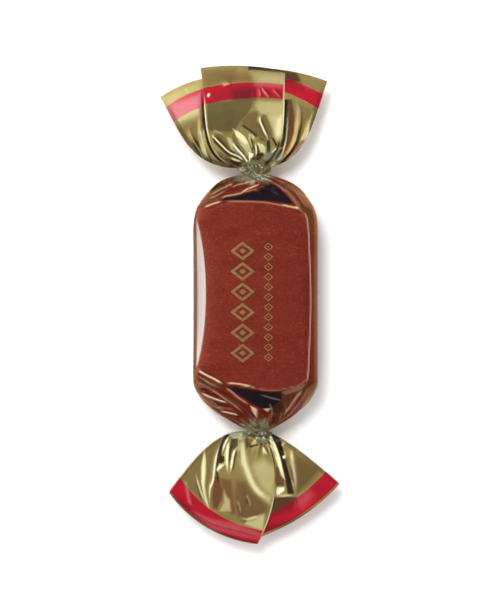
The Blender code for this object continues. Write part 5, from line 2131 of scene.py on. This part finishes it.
@dataclass
class PrintedColumn:
    """A row of printed lozenges along the face, each a ring round a small heart, in mm."""

    name: str  # of the piece
    x: float  # how far to the right of the bar's middle the row stands
    count: int  # how many lozenges it has
    pitch: float  # from one to the next
    width: float  # of a lozenge
    length: float  # of a lozenge
    band: float  # how wide its ring is
    heart: float  # size of what is in the ring, as a share of the lozenge
    bar: WrappedBar = field(default_factory=WrappedBar)  # the bar whose face it is printed on
    middle: float = 0.15  # where the row's middle is along the bar
    sunk: float = 0.008  # how deep its underside is in the film
    thickness: float = 0.022  # of the ink
    # inset: how much further the ring's inside is in, across and along, for its sharp corners
    inset: Point = (1.55, 1.2)
    corner: float = 0.12  # radius of the corners

    def fall(self, end: BarEnd) -> float:
        """How fast the face falls off with the square of the way along it."""
        return self.bar.crown / float(end.face_edge(np.array(self.x), self.bar.width / 2)) ** 2

    def lozenge(self, tree: GeometryTree) -> Socket:
        """Draws one lozenge: its outline, the ring's inside and the heart, filled in.

        Args:
            tree: the tree to add it to.

        Returns:
            The flat lozenge.
        """
        give = tree.given
        shrink = tree.times(give["Band"], 2.0)
        size = (give["Width"], give["Length"])
        inside = [tree.minus(whole, tree.times(shrink, more))
                  for whole, more in zip(size, self.inset)]
        heart = [tree.times(whole, give["Heart"]) for whole in size]
        loops = [tree.shape("GeometryNodeTransform", {
            "Geometry": tree.shape("GeometryNodeCurvePrimitiveCircle",
                                   {"Resolution": 4, "Radius": 0.5}),
            "Scale": tree.xyz(*sides, 1.0)}) for sides in (size, inside, heart)]
        rounded = tree.shape("GeometryNodeFilletCurve", {
            "Curve": tree.join(*loops), "Radius": self.corner, "Limit Radius": True,
            "Count": 4}, mode="POLY")
        return tree.shape("GeometryNodeFillCurve", {"Curve": rounded}, mode="TRIANGLES")

    def plates(self, tree: GeometryTree) -> Socket:
        """Sets the lozenges in a row and gives them a thickness.

        Args:
            tree: the tree to add it to.

        Returns:
            The plates, flat over the table.
        """
        give = tree.given
        half_row = tree.times(tree.minus(give["Count"], 1.0), give["Pitch"])
        first = tree.math("MULTIPLY_ADD", half_row, -0.5, give["Middle"])
        line = tree.shape("GeometryNodeMeshLine", {
            "Count": give["Count"], "Start Location": tree.xyz(give["X"], first, 0.0),
            "Offset": tree.xyz(0.0, give["Pitch"], 0.0)})
        row = tree.shape("GeometryNodeInstanceOnPoints", {"Points": line,
                                                          "Instance": self.lozenge(tree)})
        real = tree.shape("GeometryNodeRealizeInstances", {0: row})
        plate = tree.shape("GeometryNodeExtrudeMesh", {
            "Mesh": real, "Offset Scale": give["Thickness"], "Individual": False})
        return tree.join(plate, tree.shape("GeometryNodeFlipFaces", {0: real}))

    def tree(self, values: dict[str, float | int]) -> GeometryTree:
        """Makes the tree: the row of lozenges, draped over the face.

        Args:
            values: the tree's numbers by name.

        Returns:
            The finished tree.
        """
        tree = GeometryTree("printed_lozenges", values)
        give = tree.given
        plates = self.plates(tree)
        x, y, z = tree.parts(tree.shape("GeometryNodeInputPosition"))
        at_head = tree.math("GREATER_THAN", y, 0.0)
        fall = tree.between(give["Foot Fall"], give["Head Fall"], at_head)
        reach = tree.between(give["Foot Reach"], give["Head Reach"], at_head)
        crown = tree.times(tree.square(tree.math("ABSOLUTE", y)), fall)
        share = tree.square(tree.math("ABSOLUTE", tree.math("DIVIDE", y, reach)))
        roundness = tree.between(give["Middle Roundness"], give["End Roundness"], share)
        off = tree.math("DIVIDE", tree.math("MINIMUM", x, 0.0), give["Half Width"])
        inner = tree.math("MULTIPLY_ADD", off, tree.times(off, -1.0), 1.0)
        level = tree.math("POWER", inner, tree.times(roundness, 0.5))
        drop = tree.math("MULTIPLY_ADD", tree.minus(1.0, level), give["Half Height"], crown)
        z = tree.minus(tree.plus(z, give["Face Height"]), drop)
        tree.finish(plates, tree.xyz(*(tree.times(size, MM) for size in (x, y, z))), False)
        return tree

    def build(self) -> None:
        """Makes the row."""
        bar = self.bar
        middle_roundness, end_roundness = bar.left_edge
        values = {"X": self.x, "Middle": self.middle, "Pitch": self.pitch, "Count": self.count,
                  "Width": self.width, "Length": self.length, "Band": self.band,
                  "Heart": self.heart, "Face Height": bar.height - self.sunk,
                  "Head Fall": self.fall(HEAD_END), "Foot Fall": self.fall(FOOT_END),
                  "Head Reach": HEAD_END.face_end - bar.edge_inset,
                  "Foot Reach": FOOT_END.face_end - bar.edge_inset,
                  "Half Width": bar.width / 2, "Half Height": (bar.height + bar.sink) / 2,
                  "Middle Roundness": middle_roundness, "End Roundness": end_roundness,
                  "Thickness": self.thickness}
        ink = GoldInk(f"{self.name}_ink").material()
        self.tree(values).grow(self.name, Slot.GOLD_PRINT, {**values, "Material": ink})


# ----------------------------------------------------------------------- the studio


@dataclass(frozen=True)
class Softbox:
    """A studio light, in metres."""

    name: str  # of the light
    place: tuple[float, float, float]  # where it stands
    size: tuple[float, float]  # its width and height
    radiance: float  # how bright its face is
    colour: Colour = (1.0, 1.0, 1.0)  # of its light
    oval: bool = False  # whether it is an oval and not a rectangle
    glossy: bool = True  # whether it shows in reflections
    diffuse: bool = True  # whether it lights what is matt

    def build(self) -> Object:
        """Adds the light, aimed at the sweet.

        Returns:
            The light's object.
        """
        light = bpy.data.lights.new(self.name, "AREA")
        light.shape = "ELLIPSE" if self.oval else "RECTANGLE"
        light.size, light.size_y = self.size
        area = self.size[0] * self.size[1] * (math.pi / 4 if self.oval else 1.0)
        light.energy = self.radiance * math.pi * area
        light.color = self.colour
        obj = bpy.data.objects.new(self.name, light)
        obj.location = self.place
        obj.rotation_euler = (-Vector(self.place)).to_track_quat("-Z", "Y").to_euler()
        obj.visible_glossy = self.glossy
        obj.visible_diffuse = self.diffuse
        obj.visible_camera = False
        bpy.context.scene.collection.objects.link(obj)
        return obj


@dataclass
class Highlight:
    """The strips whose reflections lie along the left of the bar's film, in metres."""

    top: float = 61.0  # how high over the table they all end, in degrees
    # lowest: how high each starts, in degrees, and its radiance
    lowest: tuple[Point, ...] = ((3.0, 0.70), (18.0, 0.85), (32.0, 0.85))
    distance: float = 0.45  # from the sweet
    width: float = 0.280  # of a strip
    shift: float = 0.0100  # how far they stand towards the head
    colour: Colour = (0.93, 1.0, 0.86)  # of their light

    def build(self, film: Object) -> None:
        """Adds the strips.

        Args:
            film: the film of the bar, which alone they light.
        """
        lit = bpy.data.collections.new("lit_by_the_strips")
        lit.objects.link(film)
        for number, (lowest, radiance) in enumerate(self.lowest):
            middle = math.radians((lowest + self.top) / 2)
            half = math.radians((self.top - lowest) / 2)
            place = (-self.distance * math.cos(middle), self.shift,
                     self.distance * math.sin(middle))
            size = (self.width, 2.0 * self.distance * math.tan(half))
            strip = Softbox(f"left_strip_{number}", place, size, radiance, self.colour,
                            oval=True, diffuse=False).build()
            strip.light_linking.receiver_collection = lit


@dataclass
class Room:
    """The world: grey overhead, a glow at the upper left, dark low down.

    A pair of limits is where something starts to show and where it is full, as the sine of
    the height over the horizon unless a comment says otherwise.
    """

    zenith: Colour = (0.44, 0.42, 0.39)
    horizon: Colour = (0.035, 0.032, 0.04)
    flank: Colour = (0.22, 0.19, 0.15)
    glow: Colour = (1.25, 1.22, 1.15)
    glow_from: tuple[float, float, float] = (-0.514, 0.386, 0.766)
    glow_limits: Point = (0.83, 0.98)  # cosine of the angle from there
    overhead: Point = (0.76, 0.98)
    flank_foot: Point = (0.0, 0.2)
    flank_head: Point = (0.8, 0.5)
    flank_sides: Point = (0.25, 0.7)  # square of how far to the side

    def build(self) -> None:
        """Makes the world."""
        world = bpy.data.worlds.new("room")
        bpy.context.scene.world = world
        world.use_nodes = True
        weave = Weave(world.node_tree)
        direction = weave.node("ShaderNodeTexCoord").outputs["Generated"]
        x, _, up = weave.parts(direction)
        colour = weave.mix(weave.ramp(up, *self.overhead), self.horizon, self.zenith)
        low = weave.times(weave.ramp(up, *self.flank_foot), weave.ramp(up, *self.flank_head))
        sides = weave.ramp(weave.math("POWER", x, 2.0), *self.flank_sides)
        colour = weave.mix(weave.times(sides, low), colour, self.flank, "ADD")
        toward = weave.node("ShaderNodeVectorMath", {0: direction, 1: self.glow_from},
                            operation="DOT_PRODUCT").outputs["Value"]
        colour = weave.mix(weave.ramp(toward, *self.glow_limits), colour, self.glow, "ADD")
        weave.feed(world.node_tree.nodes["Background"].inputs["Color"], colour)


@dataclass
class Studio:
    """A white table under softboxes, and the camera straight above it."""

    aim: Point = (-0.92, -0.40)  # mm, the middle of the picture
    picture_height: float = 98.1  # mm of the sweet's plane that the picture takes in
    plane: float = 7.0  # mm above the table
    lens: float = 180.0  # mm
    sensor: float = 36.0  # mm
    nearest: float = 0.01  # metres from the camera
    half_table: float = 3.0  # metres
    white: Colour = (0.90, 0.90, 0.91)
    boxes: tuple[Softbox, ...] = (
        Softbox("key", (-0.13, 0.25, 0.85), (0.22, 0.22), 33.0, glossy=False),
        Softbox("overhead", (-0.02, 0.0, 1.0), (1.8, 1.8), 1.4, glossy=False),
        Softbox("left_wall", (-0.45, 0.0, 0.20), (0.5, 0.24), 0.5, diffuse=False),
    )

    def build(self, film: Object) -> None:
        """Sets the table, the lights, the world and the camera.

        Args:
            film: the film of the bar, for the highlight on it.
        """
        self.table()
        for box in self.boxes:
            box.build()
        Room().build()
        self.camera()
        Highlight().build(film)
        bpy.context.scene.view_settings.view_transform = "Standard"

    def table(self) -> None:
        """Lays the floor."""
        half = self.half_table
        mesh = bpy.data.meshes.new("table")
        corners = [(-half, -half, 0.0), (half, -half, 0.0), (half, half, 0.0), (-half, half, 0.0)]
        mesh.from_pydata(corners, [], [(0, 1, 2, 3)])
        table = bpy.data.objects.new("table", mesh)
        bpy.context.scene.collection.objects.link(table)
        material = bpy.data.materials.new("white_table")
        material.use_nodes = True
        shader = material.node_tree.nodes["Principled BSDF"]
        shader.inputs["Base Color"].default_value = rgba(self.white)
        shader.inputs["Roughness"].default_value = 0.9
        mesh.materials.append(material)

    def camera(self) -> None:
        """Hangs the camera straight above, with a long lens."""
        data = bpy.data.cameras.new("camera")
        data.sensor_fit = "VERTICAL"
        data.sensor_height = self.sensor
        data.lens = self.lens
        data.clip_start = self.nearest
        away = self.picture_height * self.lens / self.sensor
        camera = bpy.data.objects.new("camera", data)
        camera.location = (self.aim[0] * MM, self.aim[1] * MM, (self.plane + away) * MM)
        bpy.context.scene.collection.objects.link(camera)
        bpy.context.scene.camera = camera


def main() -> None:
    """Builds every piece, then the studio."""
    logging.basicConfig(level=logging.INFO, format="%(message)s")
    film = WrappedBar().build()
    HEAD_FAN.build()
    FOOT_FAN.build()
    Twist("head_twist", HEAD_END, seed=2.0).build()
    Twist("foot_twist", FOOT_END, seed=7.0, beyond=1.0, spread=2.1).build()
    PrintedColumn("printed_lozenges", x=-2.1, count=6, pitch=3.25, width=3.9, length=3.0,
                  band=0.42, heart=0.3).build()
    PrintedColumn("printed_small_lozenges", x=2.0, count=12, pitch=1.6, width=1.6, length=1.3,
                  band=0.16, heart=0.2).build()
    Studio().build(film)


if __name__ == "__main__":
    main()
